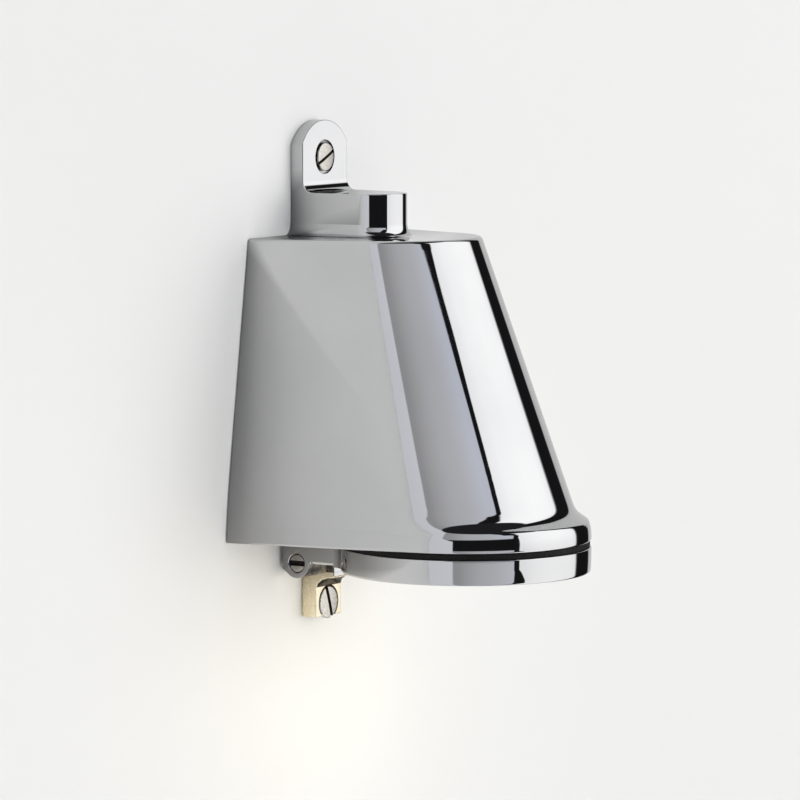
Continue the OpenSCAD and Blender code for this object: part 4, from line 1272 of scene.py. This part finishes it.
def studio():
    """Soft boxes and black flags by direction, and a plain pale backdrop."""
    w = bpy.data.worlds.new("studio")
    SCENE.world = w
    w.use_nodes = True
    t = w.node_tree
    t.nodes.clear()
    N, L = t.nodes.new, t.links.new
    co = N("ShaderNodeTexCoord")
    sp = N("ShaderNodeSeparateXYZ")
    L(co.outputs["Generated"], sp.inputs[0])
    neg = N("ShaderNodeMath")
    neg.operation = "MULTIPLY"
    neg.inputs[1].default_value = -1
    L(sp.outputs["Y"], neg.inputs[0])
    az = N("ShaderNodeMath")
    az.operation = "ARCTAN2"
    L(sp.outputs["X"], az.inputs[0])
    L(neg.outputs[0], az.inputs[1])
    fa = N("ShaderNodeMapRange")
    fa.inputs["From Min"].default_value = -math.pi
    fa.inputs["From Max"].default_value = math.pi
    L(az.outputs[0], fa.inputs["Value"])
    el = N("ShaderNodeMath")
    el.operation = "ARCSINE"
    L(sp.outputs["Z"], el.inputs[0])
    fe = N("ShaderNodeMapRange")
    fe.inputs["From Min"].default_value = -math.pi / 2
    fe.inputs["From Max"].default_value = math.pi / 2
    L(el.outputs[0], fe.inputs["Value"])

    def A(d): return (d + 180) / 360
    def E(d): return (d + 90) / 180
    blk = (0.012, 0.012, 0.013)

    def math_(op, a, b=None):
        m = N("ShaderNodeMath")
        m.operation = op
        for i, x in enumerate((a, b)):
            if isinstance(x, (int, float)):
                m.inputs[i].default_value = x
            elif x is not None:
                L(x, m.inputs[i])
        return m.outputs[0]

    def span(src, a, b, lo, hi, kind="LINEAR"):
        m = N("ShaderNodeMapRange")
        m.interpolation_type = kind
        for k, v in (("From Min", a), ("From Max", b), ("To Min", lo), ("To Max", hi)):
            m.inputs[k].default_value = v
        L(src, m.inputs["Value"])
        return m.outputs["Result"]

    def mix(fac, a, b):
        m = N("ShaderNodeMix")
        m.data_type = "RGBA"
        L(fac, m.inputs["Factor"])
        for key, x in (("A", a), ("B", b)):
            if isinstance(x, tuple):
                m.inputs[key].default_value = (*x, 1)
            else:
                L(x, m.inputs[key])
        return m.outputs["Result"]

    # Left half: pale surround, then the grey card, whose edge leans with height
    lean = span(el.outputs[0], math.radians(13), math.radians(21), 0, 10.4 / 360)
    left = ramp(t, [
        (A(-180), (0.8, 0.8, 0.8)), (A(-100), (0.86, 0.87, 0.9)),
        (A(-84), (0.87, 0.875, 0.925)), (A(-70.2), (0.895, 0.905, 0.965)),
        (A(-69), (0.433, 0.433, 0.44)), (A(-64), (0.447, 0.447, 0.455)),
        (A(-57), (0.52, 0.522, 0.532)), (A(-50), (0.585, 0.585, 0.6)),
        (A(-43), (0.632, 0.635, 0.66)), (A(-36), (0.657, 0.665, 0.69)),
        (A(-28), (0.68, 0.69, 0.725)), (A(-18), (0.73, 0.75, 0.8)),
        (A(-8), (0.785, 0.815, 0.91))])
    leaned = math_("ADD", fa.outputs["Result"], lean)
    L(leaned, left.inputs["Fac"])
    # Right half: the big soft box, a black flag beside it, and the room
    right = ramp(t, [
        (A(-12), (1.36, 1.36, 1.37)), (A(-2), (1.43, 1.43, 1.44)), (A(10), (1.55, 1.55, 1.55)),
        (A(35), (1.62, 1.62, 1.61)), (A(55), (1.58, 1.58, 1.58)),
        (A(62), (1.46, 1.46, 1.46)), (A(65), blk), (A(88), blk), (A(89), (0.66, 0.66, 0.66)),
        (A(180), (0.8, 0.8, 0.8))])
    # The black flag reaches further round low down
    wider = math_("MULTIPLY", span(el.outputs[0], math.radians(0), math.radians(5), -9 / 360, 0),
                  math_("GREATER_THAN", fa.outputs["Result"], A(78)))
    L(math_("ADD", fa.outputs["Result"], wider), right.inputs["Fac"])
    dim = span(el.outputs[0], math.radians(-8), math.radians(8), 0.13, 0.0)
    boxes = mix(dim, right.outputs["Color"], (0, 0, 0))
    # Where card and soft box meet, by height
    meet = ramp(t, [(E(k), (A(v), A(v), A(v))) for k, v in
                    ((-22, -6.5), (-13, -7), (-9.5, -9), (-8.5, -10.4), (20, -9.5),
                     (27.6, -7.1), (28.4, -7.0), (29.05, -8.5), (29.55, -8.9),
                     (30.15, -10.5), (30.5, -12.5))])
    L(fe.outputs["Result"], meet.inputs["Fac"])
    halves = math_("GREATER_THAN", fa.outputs["Result"], meet.outputs["Color"])
    col = mix(halves, left.outputs["Color"], boxes)
    # Low black flag in front of the grey card only
    sect = math_("MULTIPLY", math_("GREATER_THAN", leaned, A(-69.6)),
                 math_("LESS_THAN", fa.outputs["Result"], meet.outputs["Color"]))
    up = span(el.outputs[0], math.radians(-6.7), math.radians(-5.9), 0, 1, "SMOOTHSTEP")
    down = span(el.outputs[0], math.radians(17), math.radians(19.4), 1, 0, "SMOOTHSTEP")
    col = mix(math_("MULTIPLY", sect, math_("MULTIPLY", up, down)), col, blk)
    # Dark gap between the card and the soft box, wider higher up
    def by_height(stops):
        r = ramp(t, [(E(k), (v, v, v)) for k, v in stops])
        L(fe.outputs["Result"], r.inputs["Fac"])
        return r.outputs["Color"]

    wide = by_height(((-22, 0.325), (-13, 0.28), (-9.5, 0.17), (-8.5, 0.13), (4, 0.135),
                      (29, 0.135), (29.55, 0.19), (30.45, 0.195), (30.6, 0.36),
                      (37, 0.42), (48, 0.66)))
    soft = by_height(((29, 0.05), (30.45, 0.05), (30.6, 0.16), (48, 0.2)))
    off = math_("ABSOLUTE", math_("MULTIPLY", math_(
        "SUBTRACT", fa.outputs["Result"], meet.outputs["Color"]), 18))
    gap = span(math_("DIVIDE", math_("SUBTRACT", off, wide), soft), -0.5, 0.5, 1, 0,
               "SMOOTHSTEP")
    col = mix(gap, col, blk)
    # Dark ceiling over everything
    ceil = span(el.outputs[0], math.radians(53.5), math.radians(56.5), 0, 1, "SMOOTHSTEP")
    col = mix(ceil, col, (0.022, 0.022, 0.024))
    path = N("ShaderNodeLightPath")
    m3 = N("ShaderNodeMix")
    m3.data_type = "RGBA"
    L(path.outputs["Is Camera Ray"], m3.inputs["Factor"])
    L(col, m3.inputs["A"])
    m3.inputs["B"].default_value = (0.84, 0.84, 0.83, 1)
    bg = N("ShaderNodeBackground")
    L(m3.outputs["Result"], bg.inputs["Color"])
    out = N("ShaderNodeOutputWorld")
    L(bg.outputs[0], out.inputs["Surface"])


def area(name, loc, target, size, power, color=(1, 1, 1), glossy=False, size_y=None,
         shape="RECTANGLE", spread=180):
    d = bpy.data.lights.new(name, "AREA")
    d.shape = shape
    d.size = size
    if shape == "RECTANGLE":
        d.size_y = size_y or size
    d.energy = power
    d.color = color
    d.spread = math.radians(spread)
    o = bpy.data.objects.new(name, d)
    COL.objects.link(o)
    o.location = loc
    o.rotation_mode = "QUATERNION"
    o.rotation_quaternion = (Vector(target) - Vector(loc)).to_track_quat("-Z", "Y")
    o.visible_camera = False
    o.visible_glossy = glossy
    return o


def lights():
    area("soft_right", (1.6, -2.1, 0.1), (0, 0, 0), 1.6, 9.5)
    area("soft_front", (-0.4, -2.4, -0.1), (0, 0, 0), 2.0, 9.2)
    # The lamp's own warm light inside, and what comes back from below the lens
    for name, at, watts, tint, size in (
            ("lamp_glow", row(6, 84, -36), 0.045, (1.0, 0.87, 0.58), 0.02),
            ("lamp_glow_left", row(-38, 62, -26), 0.016, (1.0, 0.88, 0.64), 0.02),
            ("lamp_inside", row(0, 53, 3.2), 0.05, (1.0, 0.82, 0.56), 0.004)):
        d = bpy.data.lights.new(name, "POINT")
        d.energy, d.color, d.shadow_soft_size = watts, tint, size
        o = bpy.data.objects.new(name, d)
        COL.objects.link(o)
        o.location = at
        o.visible_camera = False
        o.visible_glossy = name == "lamp_inside"


def camera():
    d = bpy.data.cameras.new("camera")
    o = bpy.data.objects.new("camera", d)
    COL.objects.link(o)
    d.sensor_width = 36
    d.lens = 226.55
    d.clip_start, d.clip_end = 0.05, 50
    o.location = (-1.2630, -0.8499, 0.1372)
    o.rotation_mode = "QUATERNION"
    aim = Vector((-0.00655, -0.03535, -0.00392))
    o.rotation_quaternion = (aim - Vector(o.location)).to_track_quat("-Z", "Y")
    SCENE.camera = o


stage()
studio()
lights()
camera()
SCENE.view_settings.view_transform = "Standard"
SCENE.view_settings.look = "None"
SCENE.cycles.max_bounces = 14
SCENE.cycles.transmission_bounces = 10
SCENE.cycles.transparent_max_bounces = 10
SCENE.cycles.sample_clamp_indirect = 6.0
SCENE.cycles.blur_glossy = 0.2
